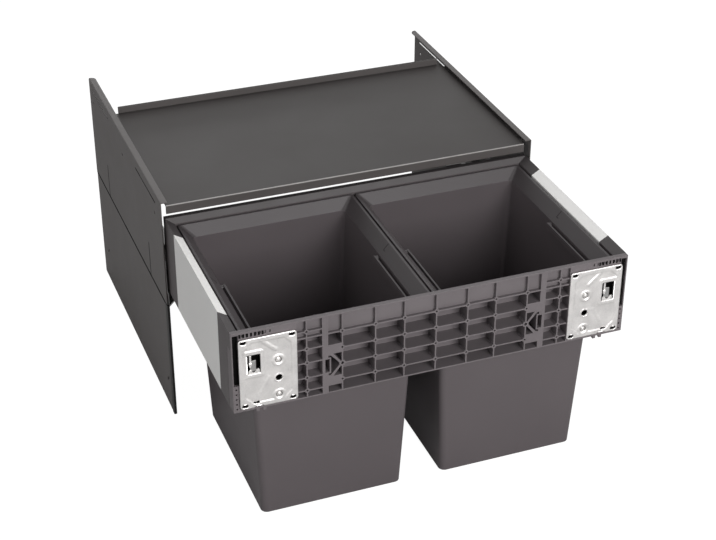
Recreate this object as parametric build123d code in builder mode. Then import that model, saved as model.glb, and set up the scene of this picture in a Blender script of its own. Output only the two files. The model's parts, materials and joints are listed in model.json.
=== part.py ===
"""Pull-out waste unit for a base cabinet: two steel side panels with a shelf between them, a drawer frame
on two runners, and two bins that hang in the drawer. Millimetres, drawn with the drawer pulled out.

X = 0 is the middle of the unit and +X its right side as seen from the front. Y = 0 is the front edge of the
side panels and +Y runs into the cabinet. Z = 0 is the bottom edge of the side panels.
"""

import math
import os

from build123d import *

os.makedirs("parts", exist_ok=True)

# Steel unit
UNIT_WIDTH = 562.0          # outside to outside of the side panels
PANEL_DEPTH = 445.5
PANEL_HEIGHT = 355.0
SHEET = 1.5
UPPER_PANEL_HEIGHT = 163.0
TOP_FLANGE = 10.0
BEND = 0.5                  # inside radius of a sheet bend
FLANGE_CORNER = 8.0
LOWER_PANEL_INSET = 0.5     # outer face of the lower panel behind that of the upper one
TONGUE_HEIGHT = 14.0        # lap of the lower panel behind the upper one
TONGUE_SETBACK = 12.0
LAP_GAP = 2.0               # open joint between the upper panel and the step of the lower one
LAP_STEP = 1.0              # height over which the lower panel steps inwards

SLOT_LENGTH = 115.0         # long slots near the top edge of the side panels
SLOT_HEIGHT = 3.0
SLOT_DROP = 14.5
SLOT_FRONTS = (30.0, 313.0)
WALL_HOLE = 5.0             # empty screw holes to the cabinet wall
WALL_HOLE_DROP = 33.0
WALL_HOLE_FRONT = 37.0
WALL_HOLE_PITCH = 192.0
WALL_HOLES = 3
SLIT_WIDTH = 1.2            # upright slits above the lap
SLIT_HEIGHT = 36.0
SLIT_FRONTS = (90.0, 350.0)
ADJUST_SLOT = 11.0          # slanted screw slots of the lower panel, centre to centre
ADJUST_SLOT_WIDTH = 4.0
ADJUST_SLOT_ANGLE = -40.0
ADJUST_SLOT_PLACES = ((25.0, 49.5), (406.5, 59.5))
LEVELLER_DEPTH = 0.6        # face of the nut behind the face of the panel
LEVELLER_CLEARANCE = 0.2
LEVELLER_PLATE = 20.0
LEVELLER_PLATE_THICKNESS = 2.0
RIVET = 4.0
RIVET_HEAD = 8.0
RIVET_HEAD_HEIGHT = 1.2
RIVET_CLEARANCE = 0.05
RIVET_HEAD_TAPER = 30.0
RIVET_SIDES = 12            # a rivet is drawn with flat sides

SHELF_SIDE_GAP = 7.5
SHELF_SETBACK = 5.0
SHELF_DEPTH = 313.0
SHELF_DROP = 8.0            # top of the shelf below the top of the panels
SHELF_LIP = 13.1
SHELF_BACK_LIP = 11.5
SHELF_BACK_LIP_INSET = 8.0
BRACKET_LEG = 17.5
BRACKET_WEB = 20.5
BRACKET_SETBACK = 20.0      # behind the front of the shelf
BRACKET_LENGTH = 285.0
BRACKET_TAB = 55.0          # hook through the long slot
BRACKET_TAB_SETBACK = 30.0  # behind the front end of the slot
BRACKET_LUG = 28.0
SLOT_CLEARANCE = 0.3

TRIM_WALL = 1.5
TRIM_OUTER_WALL = 0.5
TRIM_LENGTH = 10.0
TRIM_INNER_DROP = 8.5       # the inner leg ends below the runner's foot
TRIM_TIP = 4.0

# Drawer frame
TRAVEL = 308.0
DOOR_GAP = 2.5              # in front of the panels with the drawer closed
DRAWER_LENGTH = 319.5       # front plane to back of the rear rail
DRAWER_HEIGHT = 118.4
DRAWER_SIDE_GAP = 4.5       # side panel to drawer side
SHELF_CLEARANCE = 6.5       # shelf lip to top of the drawer
SIDE_SKIN = 1.2
SIDE_SLOPE_WIDTH = 12.5     # top of the drawer side, sloping inwards
SIDE_SLOPE_DROP = 7.4
SHOULDER_HEIGHT = 51.0      # above the bottom of the drawer side
CHANNEL_HEIGHT = 48.5       # inside, for the runner
CHANNEL_WIDTH = 29.0        # outer face to inner face of the lower part
CAP_SKIN = 2.5
FRONT_CAP = 56.5            # front plane to the front end of the metal drawer side
REAR_CAP = 55.0
RAIL_WALL = 2.5
RAIL_TOP = 8.0
RAIL_SLOPE = 5.0
RAIL_HEIGHT = 95.0
RAIL_LEDGE = 12.0
CATCH_WIDTH = 24.0          # catch on the back of the rail, right of the middle
CATCH_DEPTH = 3.0
CATCH_HEIGHT = 9.0
CATCH_PLACE = 163.0

# Front carrier, a ribbed moulding
CARRIER_SIDE_STEP = 0.2     # inside the outer faces of the drawer sides
CARRIER_WALL = 1.5
CARRIER_TOP_DEPTH = 6.5     # front to back above the ledge
CARRIER_DEPTH = 25.0        # below the ledge
CARRIER_END_DEPTH = 18.0    # behind the metal plates
CARRIER_END_WIDTH = 92.0
CARRIER_TOP_RIM = 2.0
RIB = 1.8
END_RIB_SETBACK = 13.5      # from the inner edge of the metal plate
BROAD_RIB_SETBACK = 38.2
BRACED_RIB_SETBACK = 61.2
RIB_STEPS = (45.0, 40.0)    # from the braced rib inwards
BROAD_RIB = 8.0
ROW_RISES = (18.0, 42.5, 66.6)          # above the bottom edge
END_ROW_RISES = (11.1, 30.5, 53.3, 74.2, 100.2)
BOSS = 7.0
BOSS_SIDES = 8              # the many small bosses are drawn with flat sides
BOSS_HOLE = 3.0
BOSS_HOLE_SIDES = 6
BOSS_HOLE_DEPTH = 12.0
BRACE_BOSS = 9.0
BRACE_HOLE = 4.4
BRACE_RISE = 17.0           # from the braced node to the ends of its two braces
WEB_TOP = 14.0              # height of the flat webs above and below the braces
EYE_WIDTH = 6.0
EYE_HEIGHT = 20.0
EYE_WALL = 1.8
EDGE_RECESS_LAP = 1.0       # deep slot beside each plate, reaching under its edge
EDGE_RECESS_HEIGHT = 75.0
EDGE_RECESS_DEPTH = 14.0
EDGE_WALL = 1.6
EDGE_HOLES = 5
EDGE_HOLE = 2.8
EDGE_HOLE_INSET = 2.8       # from the outer end of the deep slot
EDGE_HOLE_RISE = 5.0
EDGE_HOLE_PITCH = 7.4
COMB_NOTCHES = 7
COMB_NOTCH = 2.5
COMB_PITCH = 6.0
COMB_HEIGHT = 4.0
COMB_DEPTH = 2.0
FOOT_LUG = (4.0, 4.0, 4.0)
FOOT_LUG_PLACES = (234.0, 243.0)

# Metal plates for the furniture front
PLATE_THICKNESS = 3.0
PLATE_WIDTH = 76.3
PLATE_HEIGHT = 103.0
PLATE_SIDE = 8.5            # from the outer face of the drawer side
PLATE_RISE = 5.0
PLATE_CORNER = 4.0
PLATE_SEAT = 3.0            # rim of the carrier behind the edge of the plate
PLATE_CAVITY = 12.0
PLATE_SLOT_PITCH = (63.5, 95.0)
PLATE_SLOT_RADIUS = 2.4
PLATE_SLOT_LENGTH = 8.5
PLATE_WINDOW = (17.6, 28.5)
PLATE_WINDOW_PLACE = (18.7, 13.5)       # from the middle of the plate
PLATE_HOLE = 10.0
PLATE_HOLE_PLACE = (-13.7, -14.0)
ADJUSTER_PLACES = ((-13.7, 12.5), (-13.7, -39.5))
ADJUSTER_CUP = 13.0
ADJUSTER_CUP_DEPTH = 1.6
ADJUSTER_HOLE = 7.0
ADJUSTER_SCREW = 6.0
ADJUSTER_DRIVE = 2.2
ADJUSTER_CUP_TAPER = 25.0
DISH_DEPTH = 0.6            # pressed back inside the border of the plate
DISH_BORDER = (6.5, 5.5)
DISH_CORNER = 10.0
FIELD_MARGIN = (3.5, 5.0)   # field round the window, level with the border
PLATE_BEAD = (24.0, 5.0)
PLATE_BEAD_ANGLE = -48.0
PLATE_BEAD_PLACE = (-2.5, 30.0)
KEY_SLOT = (6.0, 2.2)
KEY_SLOT_PLACE = (17.5, -44.8)
PLATE_NOTCH = 12.0
PLATE_NOTCH_DEPTH = 1.8
PLATE_NOTCH_PLACE = 13.5
LATCH_WALL = 1.2
LATCH_GAP = 1.2             # latch inside the window

# Runners
PROFILE = 1.5
RUNNER_WEB_RISE = 53.0      # top of the cabinet profile above the bottom of the drawer side
RUNNER_RIVET_RISE = 37.0
RUNNER_RIVET_FRONTS = (69.0, 293.0)
RUNNER_REAR_GAP = 25.5
RUNNER_FRONT_GAP = 2.0
RAIL_SETBACK = 26.0         # front end of the inner rail, behind the panels' front edge
RUNNER_SEAT = 7.5           # flat width of the inner rail's foot
RAIL_DROP = 3.0             # underside of the inner rail below the bottom of the drawer side
CHANNEL_GAP = 3.5           # inner rail to the inner face of the drawer side
NEST = 3.0                  # from one nested profile to the next
RAIL_RISE = 36.5            # top of the inner rail above the bottom of the drawer side
RAIL_FLANGE = 11.5
MIDDLE_LENGTH = 300.0
MIDDLE_SETBACK = 24.0       # behind the panels' front edge with the drawer closed
MIDDLE_FLANGE = 9.5
FOOT_FLANGE = 12.0
DRAWER_PROFILE_GAP = 3.5    # behind the carrier
DRAWER_PROFILE_LENGTH = 290.0
HANGER = 10.5               # width of the drawer profile at its riser
HANGER_FLANGE = 15.0
GLIDE_GAP = 0.2
GLIDE_LENGTH = 120.0
GLIDE_WIDTH = 5.0
GLIDE_MARGIN = 5.0
SOFT_CLOSE_LENGTH = 80.0
SOFT_CLOSE_GAP = 15.0
SOFT_CLOSE_WIDTH = 21.0
SOFT_CLOSE_HEIGHT = 30.0

# Bins and their handles
BIN_SIDE_GAP = 3.0
BIN_MIDDLE_GAP = 3.0
BIN_REAR_GAP = 2.0
BIN_FRONT_GAP = 2.0
BIN_SINK = 8.8              # rim below the top of the drawer
BIN_HEIGHT = 311.6
BIN_WALL = 2.0
RIM_FLAT = 3.0
RIM_BAND = 5.1
FUNNEL_DROP = 15.6
FUNNEL_UNDER = 2.5
FUNNEL_SIDE = 17.0
FUNNEL_FRONT = 20.0
FUNNEL_REAR = 14.0
RIM_CORNER = 6.0
NECK_CORNER = 8.0
FLOOR_CORNER = 9.0
TAPER_SIDE = 11.5
TAPER_FRONT = 9.0
TAPER_REAR = 5.0
BIN_SEAT_GAP = 0.4

PIVOT_SETBACK = 149.0       # handle pivot behind the front edge of the rim
HANDLE_WALL = 2.5
HANDLE_HEIGHT = 8.0
HANDLE_GAP = 4.5            # handle to the wall of the bin
HANDLE_DROP = 1.5           # top of the handle below the foot of the funnel
HANDLE_CORNER = 6.0
PIVOT_PIN = 4.0
PIVOT_COLLAR = 7.0
COLLAR_GAP = 0.8
PIN_CLEARANCE = 0.1
PIN_HOLE_SIDES = 8

# Places that follow from the sizes
panel_out = UNIT_WIDTH / 2
panel_in = panel_out - SHEET
lower_out = panel_out - LOWER_PANEL_INSET
seam = PANEL_HEIGHT - UPPER_PANEL_HEIGHT
lap_foot = seam - LAP_GAP - LAP_STEP
slot_height = PANEL_HEIGHT - SLOT_DROP
wall_hole_height = PANEL_HEIGHT - WALL_HOLE_DROP
wall_holes = [WALL_HOLE_FRONT + n * WALL_HOLE_PITCH for n in range(WALL_HOLES)]
shelf_top = PANEL_HEIGHT - SHELF_DROP
shelf_under = shelf_top - SHEET
shelf_half = panel_in - SHELF_SIDE_GAP
shelf_back = SHELF_SETBACK + SHELF_DEPTH

drawer_top = shelf_top - SHELF_LIP - SHELF_CLEARANCE
drawer_bottom = drawer_top - DRAWER_HEIGHT
plate_front = -(TRAVEL + DOOR_GAP)
front = plate_front + PLATE_THICKNESS
rear = front + DRAWER_LENGTH
side_front = front + FRONT_CAP
side_rear = rear - REAR_CAP
side_out = panel_in - DRAWER_SIDE_GAP
side_in = side_out - SIDE_SLOPE_WIDTH
channel_in = side_out - CHANNEL_WIDTH
slope_foot = drawer_top - SIDE_SLOPE_DROP
shoulder = drawer_bottom + SHOULDER_HEIGHT
ceiling = drawer_bottom + CHANNEL_HEIGHT
rail_front = rear - RAIL_TOP - RAIL_SLOPE
runner_rivets = [(y, drawer_bottom + RUNNER_RIVET_RISE) for y in RUNNER_RIVET_FRONTS]

rim_top = drawer_top - BIN_SINK
rim_foot = rim_top - RIM_BAND
crease = rim_top - FUNNEL_DROP
under_crease = crease - FUNNEL_UNDER
bin_floor = rim_top - BIN_HEIGHT
rim_width = (BIN_MIDDLE_GAP / 2, side_in - BIN_SIDE_GAP)
rim_depth = (front + CARRIER_TOP_DEPTH + BIN_FRONT_GAP, rail_front - BIN_REAR_GAP)
neck_width = (rim_width[0] + FUNNEL_SIDE, rim_width[1] - FUNNEL_SIDE)
neck_depth = (rim_depth[0] + FUNNEL_FRONT, rim_depth[1] - FUNNEL_REAR)
floor_width = (neck_width[0] + TAPER_SIDE, neck_width[1] - TAPER_SIDE)
floor_depth = (neck_depth[0] + TAPER_FRONT, neck_depth[1] - TAPER_REAR)


def save(sub_part, name):
    """Label a finished sub-part and write it."""
    sub_part.part.label = name
    export_step(sub_part.part, f"parts/{name}.step")


def save_pair(sub_part, name):
    """Write a sub-part of the right side and its mirror image on the left."""
    save(sub_part, name + "_right")
    with BuildPart() as twin:
        mirror(sub_part.part, about=Plane.YZ)
    save(twin, name + "_left")


def across(y):
    """The upright plane at depth y. Sketches on it read X and Z, and a negative extrusion runs into the cabinet."""
    return Plane.XZ.offset(-y)


def beside(x):
    """The upright plane at a distance x to the right of the middle. Sketches on it read Y and Z."""
    return Plane.YZ.offset(x)


def outline(*points, mode=Mode.ADD):
    """A filled outline with straight edges."""
    with BuildLine() as edge:
        Polyline(*points, close=True)
    make_face(edge.edges(), mode=mode)


def strip(*points, thickness, side=Side.LEFT, bend=0.0):
    """The section of a bent sheet. The points run along one face, and the sheet lies beside them."""
    with BuildLine() as edge:
        if bend:
            FilletPolyline(*points, radius=bend)
        else:
            Polyline(*points)
        offset(amount=thickness, side=side)
    make_face(edge.edges())


def slab(x_span, y_span, z_span, mode=Mode.ADD):
    """A block between two limits along each axis."""
    spans = (x_span, y_span, z_span)
    with Locations(tuple(sum(span) / 2 for span in spans)):
        Box(*(span[1] - span[0] for span in spans), mode=mode)


def patch(u_span, v_span, mode=Mode.ADD):
    """A rectangle of a sketch between two limits each way."""
    with Locations((sum(u_span) / 2, sum(v_span) / 2)):
        Rectangle(u_span[1] - u_span[0], v_span[1] - v_span[0], mode=mode)


def level_frame(height, x_span, y_span, corner):
    """A level rectangle with round corners, as one end of a loft."""
    with BuildSketch(Plane.XY.offset(height)) as level:
        with Locations((sum(x_span) / 2, sum(y_span) / 2)):
            RectangleRounded(x_span[1] - x_span[0], y_span[1] - y_span[0], corner)
    return level.sketch.face()


def inset(span, amount):
    """The span with the same amount taken off each end."""
    return (span[0] + amount, span[1] - amount)


def both(place):
    """A place and its mirror image."""
    return (place,) if place == 0 else (place, -place)


# ---------------------------------------------------------------- steel unit

with BuildPart() as side_panel:
    with BuildSketch(across(0)):
        strip(
            (panel_out, seam),
            (panel_out, PANEL_HEIGHT),
            (panel_out - TOP_FLANGE, PANEL_HEIGHT),
            thickness=SHEET,
            bend=BEND + SHEET,
        )
    extrude(amount=-PANEL_DEPTH)
    flange_corner = side_panel.edges().filter_by(Axis.Z).group_by(Axis.X)[0].sort_by(Axis.Y)[-1]
    fillet(flange_corner, FLANGE_CORNER)
    with BuildSketch(beside(panel_out)):
        with Locations(*[(start + SLOT_LENGTH / 2, slot_height) for start in SLOT_FRONTS]):
            SlotOverall(SLOT_LENGTH, SLOT_HEIGHT)
        with Locations(*[(y, wall_hole_height) for y in wall_holes]):
            Circle(WALL_HOLE / 2)
        with Locations(*runner_rivets):
            RegularPolygon(RIVET / 2 + RIVET_CLEARANCE, RIVET_SIDES)
        with Locations(*[(y, seam + TONGUE_HEIGHT + SLIT_HEIGHT / 2) for y in SLIT_FRONTS]):
            Rectangle(SLIT_WIDTH, SLIT_HEIGHT)
    extrude(amount=-SHEET, mode=Mode.SUBTRACT)
save_pair(side_panel, "side_panel")

with BuildPart() as lower_panel:
    with BuildSketch(across(0)):
        strip(
            (lower_out, 0),
            (lower_out, lap_foot),
            (panel_in, lap_foot + LAP_STEP),
            (panel_in, seam + TONGUE_HEIGHT),
            thickness=SHEET,
        )
    extrude(amount=-PANEL_DEPTH)
    for lap_end in ((0, TONGUE_SETBACK), (PANEL_DEPTH - TONGUE_SETBACK, PANEL_DEPTH)):
        slab((panel_in - 2 * SHEET, panel_out), lap_end, (lap_foot, PANEL_HEIGHT), mode=Mode.SUBTRACT)
    tip = lower_panel.edges().filter_by(Axis.X).group_by(Axis.Z)[0].sort_by(Axis.Y)[0]
    fillet(tip, TRIM_TIP - TRIM_WALL)
    with BuildSketch(beside(lower_out)):
        with Locations(*ADJUST_SLOT_PLACES):
            SlotCenterToCenter(ADJUST_SLOT, ADJUST_SLOT_WIDTH, rotation=ADJUST_SLOT_ANGLE)
    extrude(amount=-SHEET, mode=Mode.SUBTRACT)
save_pair(lower_panel, "lower_panel")

# A square nut stands in each slanted slot, held by a plate behind it.
with BuildPart() as levellers:
    with BuildSketch(beside(lower_out - LEVELLER_DEPTH)):
        with Locations(*ADJUST_SLOT_PLACES):
            Rectangle(ADJUST_SLOT, ADJUST_SLOT_WIDTH - 2 * LEVELLER_CLEARANCE, rotation=ADJUST_SLOT_ANGLE)
    extrude(amount=-(SHEET - LEVELLER_DEPTH))
    with BuildSketch(beside(lower_out - SHEET)):
        with Locations(*ADJUST_SLOT_PLACES):
            Rectangle(LEVELLER_PLATE, LEVELLER_PLATE, rotation=ADJUST_SLOT_ANGLE)
    extrude(amount=-LEVELLER_PLATE_THICKNESS)
save_pair(levellers, "levellers")

# The trim grips the bare front edge of the lower panel.
trim_in = lower_out - SHEET - TRIM_WALL
with BuildPart() as edge_trim:
    with BuildSketch(beside(trim_in)) as trim_face:
        patch((-TRIM_WALL, TRIM_LENGTH), (0, seam - LAP_GAP))
        fillet(trim_face.vertices().group_by(Axis.Y)[0].sort_by(Axis.X)[0], TRIM_TIP)
    extrude(amount=lower_out + TRIM_OUTER_WALL - trim_in)
    slab((lower_out - SHEET, lower_out), (0, TRIM_LENGTH), (0, seam), mode=Mode.SUBTRACT)
    slab((trim_in, lower_out), (0, TRIM_LENGTH), (seam - TRIM_INNER_DROP, seam), mode=Mode.SUBTRACT)
save_pair(edge_trim, "edge_trim")

with BuildPart() as shelf:
    with BuildSketch(beside(-shelf_half)) as shelf_section:
        strip(
            (SHELF_SETBACK, shelf_top - SHELF_LIP),
            (SHELF_SETBACK, shelf_top),
            (shelf_back - SHEET, shelf_top),
            (shelf_back - SHEET, shelf_top + SHELF_BACK_LIP),
            thickness=SHEET,
            side=Side.RIGHT,
            bend=BEND + SHEET,
        )
        patch((shelf_back - 2 * SHEET, shelf_back - SHEET), (shelf_top + SHEET, shelf_top + SHELF_BACK_LIP))
        fillet(shelf_section.vertices().group_by(Axis.Y)[-1], SHEET * 0.9)
    extrude(amount=2 * shelf_half)
    for end in ((shelf_half - SHELF_BACK_LIP_INSET, shelf_half), (-shelf_half, SHELF_BACK_LIP_INSET - shelf_half)):
        slab(end, (shelf_back - 4 * SHEET, shelf_back), (shelf_top, PANEL_HEIGHT + SHELF_BACK_LIP), mode=Mode.SUBTRACT)
save(shelf, "top_shelf")

# Angle under each edge of the shelf, hooked into the front slot of the panel.
bracket_front = SHELF_SETBACK + BRACKET_SETBACK
tab_front = SLOT_FRONTS[0] + BRACKET_TAB_SETBACK
lug_middle = wall_holes[1]
with BuildPart() as shelf_bracket:
    with BuildSketch(across(bracket_front)):
        strip(
            (panel_in, shelf_under - BRACKET_WEB),
            (panel_in, shelf_under),
            (panel_in - BRACKET_LEG, shelf_under),
            thickness=SHEET,
            bend=BEND + SHEET,
        )
    extrude(amount=-BRACKET_LENGTH)
    half_tab = SLOT_HEIGHT / 2 - SLOT_CLEARANCE
    slab(
        (panel_in - SHEET, panel_out),
        (tab_front, tab_front + BRACKET_TAB),
        (slot_height - half_tab, slot_height + half_tab),
    )
    with BuildSketch(beside(panel_in)):
        patch(
            (lug_middle - BRACKET_LUG / 2, lug_middle + BRACKET_LUG / 2),
            (wall_hole_height - 2 * WALL_HOLE, shelf_under - BRACKET_WEB),
        )
    extrude(amount=-SHEET)
    with BuildSketch(beside(panel_in)):
        with Locations((lug_middle, wall_hole_height)):
            Circle(WALL_HOLE / 2)
    extrude(amount=-SHEET, mode=Mode.SUBTRACT)
save_pair(shelf_bracket, "shelf_bracket")

# ---------------------------------------------------------------- runners

rail_in = channel_in + CHANNEL_GAP
rail_under = drawer_bottom - RAIL_DROP
rail_top = drawer_bottom + RAIL_RISE
web_in = panel_in - SHEET
runner_depth = (RUNNER_FRONT_GAP, PANEL_DEPTH - RUNNER_REAR_GAP)
foot_rise = web_in - (rail_in + RUNNER_SEAT)

with BuildPart() as cabinet_profile:
    with BuildSketch(across(runner_depth[0])):
        strip(
            (panel_in, drawer_bottom + RUNNER_WEB_RISE),
            (panel_in, seam + TONGUE_HEIGHT + 2 * SHEET),
            (web_in, seam + TONGUE_HEIGHT + LAP_GAP),
            (web_in, rail_under - foot_rise),
            (rail_in + RUNNER_SEAT, rail_under),
            (rail_in, rail_under),
            (rail_in, rail_top),
            (rail_in + RAIL_FLANGE, rail_top),
            thickness=PROFILE,
        )
    extrude(amount=-(runner_depth[1] - runner_depth[0]))
    slab(
        (channel_in, rail_in + RAIL_FLANGE + PROFILE),
        (runner_depth[0], RAIL_SETBACK),
        (rail_under + PROFILE, rail_top),
        mode=Mode.SUBTRACT,
    )
    with BuildSketch(beside(panel_in)):
        with Locations(*runner_rivets):
            RegularPolygon(RIVET / 2 + RIVET_CLEARANCE, RIVET_SIDES)
    extrude(amount=-PROFILE, mode=Mode.SUBTRACT)
save_pair(cabinet_profile, "cabinet_profile")

with BuildPart() as runner_rivet_pair:
    with BuildSketch(beside(panel_out)):
        with Locations(*runner_rivets):
            RegularPolygon(RIVET / 2, RIVET_SIDES)
    extrude(amount=-(SHEET + PROFILE))
    with BuildSketch(beside(panel_in - PROFILE)):
        with Locations(*runner_rivets):
            RegularPolygon(RIVET_HEAD / 2, RIVET_SIDES)
    extrude(amount=-RIVET_HEAD_HEIGHT, taper=RIVET_HEAD_TAPER)
save_pair(runner_rivet_pair, "runner_rivets")

soft_close_front = rear + TRAVEL + SOFT_CLOSE_GAP
with BuildPart() as soft_close:
    with BuildSketch(across(soft_close_front)):
        with Locations((rail_in + PROFILE, rail_under + PROFILE)):
            Rectangle(SOFT_CLOSE_WIDTH, SOFT_CLOSE_HEIGHT, align=(Align.MIN, Align.MIN))
    extrude(amount=-SOFT_CLOSE_LENGTH)
    fillet(soft_close.edges().filter_by(Axis.Y).group_by(Axis.X)[-1], SOFT_CLOSE_WIDTH / 4)
    with BuildSketch(across(soft_close_front)):
        with Locations((rail_in + PROFILE + SOFT_CLOSE_WIDTH / 2, rail_under + PROFILE + SOFT_CLOSE_HEIGHT / 2)):
            SlotOverall(SOFT_CLOSE_HEIGHT / 2, SOFT_CLOSE_WIDTH / 3, rotation=90)
    extrude(amount=-SOFT_CLOSE_LENGTH * 0.6, mode=Mode.SUBTRACT)
save_pair(soft_close, "soft_close")

middle_front = MIDDLE_SETBACK - TRAVEL / 2
middle_in = rail_in + NEST
middle_under = rail_under + NEST
middle_top = rail_top - NEST
with BuildPart() as middle_profile:
    with BuildSketch(across(middle_front)):
        strip(
            (middle_in + FOOT_FLANGE, middle_under),
            (middle_in, middle_under),
            (middle_in, middle_top),
            (middle_in + MIDDLE_FLANGE, middle_top),
            thickness=PROFILE,
            side=Side.RIGHT,
        )
    extrude(amount=-MIDDLE_LENGTH)
save_pair(middle_profile, "middle_profile")

drawer_profile_in = middle_in + NEST
drawer_profile_under = middle_under + NEST
drawer_profile_top = middle_top - NEST
drawer_profile_front = front + CARRIER_END_DEPTH + DRAWER_PROFILE_GAP
riser_out = drawer_profile_in + HANGER
with BuildPart() as drawer_profile:
    with BuildSketch(across(drawer_profile_front)):
        strip(
            (riser_out, drawer_profile_under),
            (drawer_profile_in, drawer_profile_under),
            (drawer_profile_in, drawer_profile_top),
            (riser_out, drawer_profile_top),
            thickness=PROFILE,
            side=Side.RIGHT,
        )
        strip(
            (riser_out, drawer_profile_top - PROFILE),
            (riser_out, ceiling),
            (riser_out - HANGER_FLANGE, ceiling),
            thickness=PROFILE,
        )
    extrude(amount=-DRAWER_PROFILE_LENGTH)
save_pair(drawer_profile, "drawer_profile")

# Nylon glides of the middle profile: one pair runs in the cabinet profile, the other carries the drawer.
glide_wall = NEST - PROFILE - GLIDE_GAP
outer_glide_in = middle_in
inner_glide_in = drawer_profile_in + PROFILE
rear_glides = (RUNNER_FRONT_GAP + RAIL_SETBACK + GLIDE_MARGIN, middle_front + MIDDLE_LENGTH - GLIDE_MARGIN)
front_glides = (middle_front + GLIDE_MARGIN, middle_front + GLIDE_MARGIN + GLIDE_LENGTH)
with BuildPart() as glides:
    for foot, depth, inner in (
        (middle_under - glide_wall, rear_glides, outer_glide_in),
        (middle_top, rear_glides, outer_glide_in),
        (middle_under + PROFILE, front_glides, inner_glide_in),
        (middle_top - PROFILE - glide_wall, front_glides, inner_glide_in),
    ):
        slab((inner, inner + GLIDE_WIDTH), depth, (foot, foot + glide_wall))
save_pair(glides, "runner_glides")

# ---------------------------------------------------------------- drawer frame


def side_section(skin):
    """Section of a drawer side or its end cap: a double wall, wider at the foot where the runner lies."""
    lean = SIDE_SLOPE_DROP / SIDE_SLOPE_WIDTH
    slope_skin = skin * math.hypot(1, lean)
    outline(
        (side_out, drawer_bottom),
        (side_out, drawer_top),
        (side_in, slope_foot),
        (side_in, shoulder),
        (channel_in, shoulder),
        (channel_in, drawer_bottom),
    )
    outline(
        (side_out - skin, drawer_bottom),
        (side_out - skin, drawer_top - skin * lean - slope_skin),
        (side_in + skin, slope_foot + skin * lean - slope_skin),
        (side_in + skin, ceiling),
        (channel_in + skin, ceiling),
        (channel_in + skin, drawer_bottom),
        mode=Mode.SUBTRACT,
    )


def under_flange(run, reach):
    """Height of a ledge that carries the funnel of a bin, at a distance from the wall of the bin."""
    rise = (rim_foot - under_crease) / run
    return under_crease + rise * reach - BIN_SEAT_GAP * math.hypot(1, rise)


with BuildPart() as drawer_side:
    with BuildSketch(across(side_front)):
        side_section(SIDE_SKIN)
    extrude(amount=-(side_rear - side_front))
save_pair(drawer_side, "drawer_side")

wall_front = neck_depth[0] - BIN_WALL
ledge = under_flange(FUNNEL_FRONT - BIN_WALL, wall_front - (front + CARRIER_DEPTH))
with BuildPart() as front_cap:
    with BuildSketch(across(front + CARRIER_TOP_DEPTH)):
        side_section(CAP_SKIN)
    extrude(amount=-(FRONT_CAP - CARRIER_TOP_DEPTH))
    slab((channel_in, side_out), (front, front + CARRIER_END_DEPTH), (drawer_bottom, ledge), mode=Mode.SUBTRACT)
save_pair(front_cap, "front_cap")

with BuildPart() as rear_cap:
    with BuildSketch(across(side_rear)):
        side_section(CAP_SKIN)
    extrude(amount=-REAR_CAP)
    with BuildSketch(beside(side_in)):
        outline(
            (rear, slope_foot),
            (rear, drawer_top),
            (rear - RAIL_TOP, drawer_top),
            (rail_front, slope_foot),
        )
    extrude(amount=SIDE_SLOPE_WIDTH)
    slab((side_in, side_out), (rear - CAP_SKIN, rear), (shoulder, slope_foot))
save_pair(rear_cap, "rear_cap")

wall_rear = neck_depth[1] + BIN_WALL
rail_ledge = under_flange(FUNNEL_REAR - BIN_WALL, rail_front - RAIL_LEDGE - wall_rear)
rail_foot = drawer_top - RAIL_HEIGHT
with BuildPart() as rear_rail:
    with BuildSketch(beside(-side_in)):
        strip(
            (rear, drawer_top),
            (rear - RAIL_TOP, drawer_top),
            (rail_front, slope_foot),
            (rail_front, rail_ledge),
            (rail_front - RAIL_LEDGE, rail_ledge),
            (rail_front - RAIL_LEDGE, rail_foot),
            thickness=RAIL_WALL,
        )
    extrude(amount=2 * side_in)
    for end in ((channel_in, side_in), (-side_in, -channel_in)):
        slab(end, (rail_front - RAIL_LEDGE, rear), (rail_foot, shoulder), mode=Mode.SUBTRACT)
    slab(
        (CATCH_PLACE - CATCH_WIDTH / 2, CATCH_PLACE + CATCH_WIDTH / 2),
        (rear - RAIL_WALL, rear + CATCH_DEPTH),
        (drawer_top - CATCH_HEIGHT, drawer_top),
    )
save(rear_rail, "rear_rail")

# The carrier is a shallow strip above the ledge and a deep rib work below it.
carrier_half = side_out - CARRIER_SIDE_STEP
end_start = carrier_half - CARRIER_END_WIDTH
ledge_under = ledge - CARRIER_TOP_RIM
cell_depth = CARRIER_DEPTH - CARRIER_WALL
end_cell_depth = CARRIER_END_DEPTH - CARRIER_WALL
top_cell_depth = CARRIER_TOP_DEPTH - CARRIER_WALL
plate_out = side_out - PLATE_SIDE
plate_in = plate_out - PLATE_WIDTH
plate_foot = drawer_bottom + PLATE_RISE
plate_middle = ((plate_out + plate_in) / 2, plate_foot + PLATE_HEIGHT / 2)
end_rib = plate_in - END_RIB_SETBACK
broad_rib = (plate_in - BROAD_RIB_SETBACK - BROAD_RIB / 2, plate_in - BROAD_RIB_SETBACK + BROAD_RIB / 2)
braced_rib = plate_in - BRACED_RIB_SETBACK
ribs = (0, braced_rib - sum(RIB_STEPS), braced_rib - RIB_STEPS[0])
brace_node = (braced_rib, drawer_bottom + ROW_RISES[1])


def cells(walls, first, last):
    """The clear spans between ribs in the middles given, from a first edge to a last one."""
    edges = [first] + [edge for wall in walls for edge in (wall - RIB / 2, wall + RIB / 2)] + [last]
    return list(zip(edges[::2], edges[1::2]))


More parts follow.
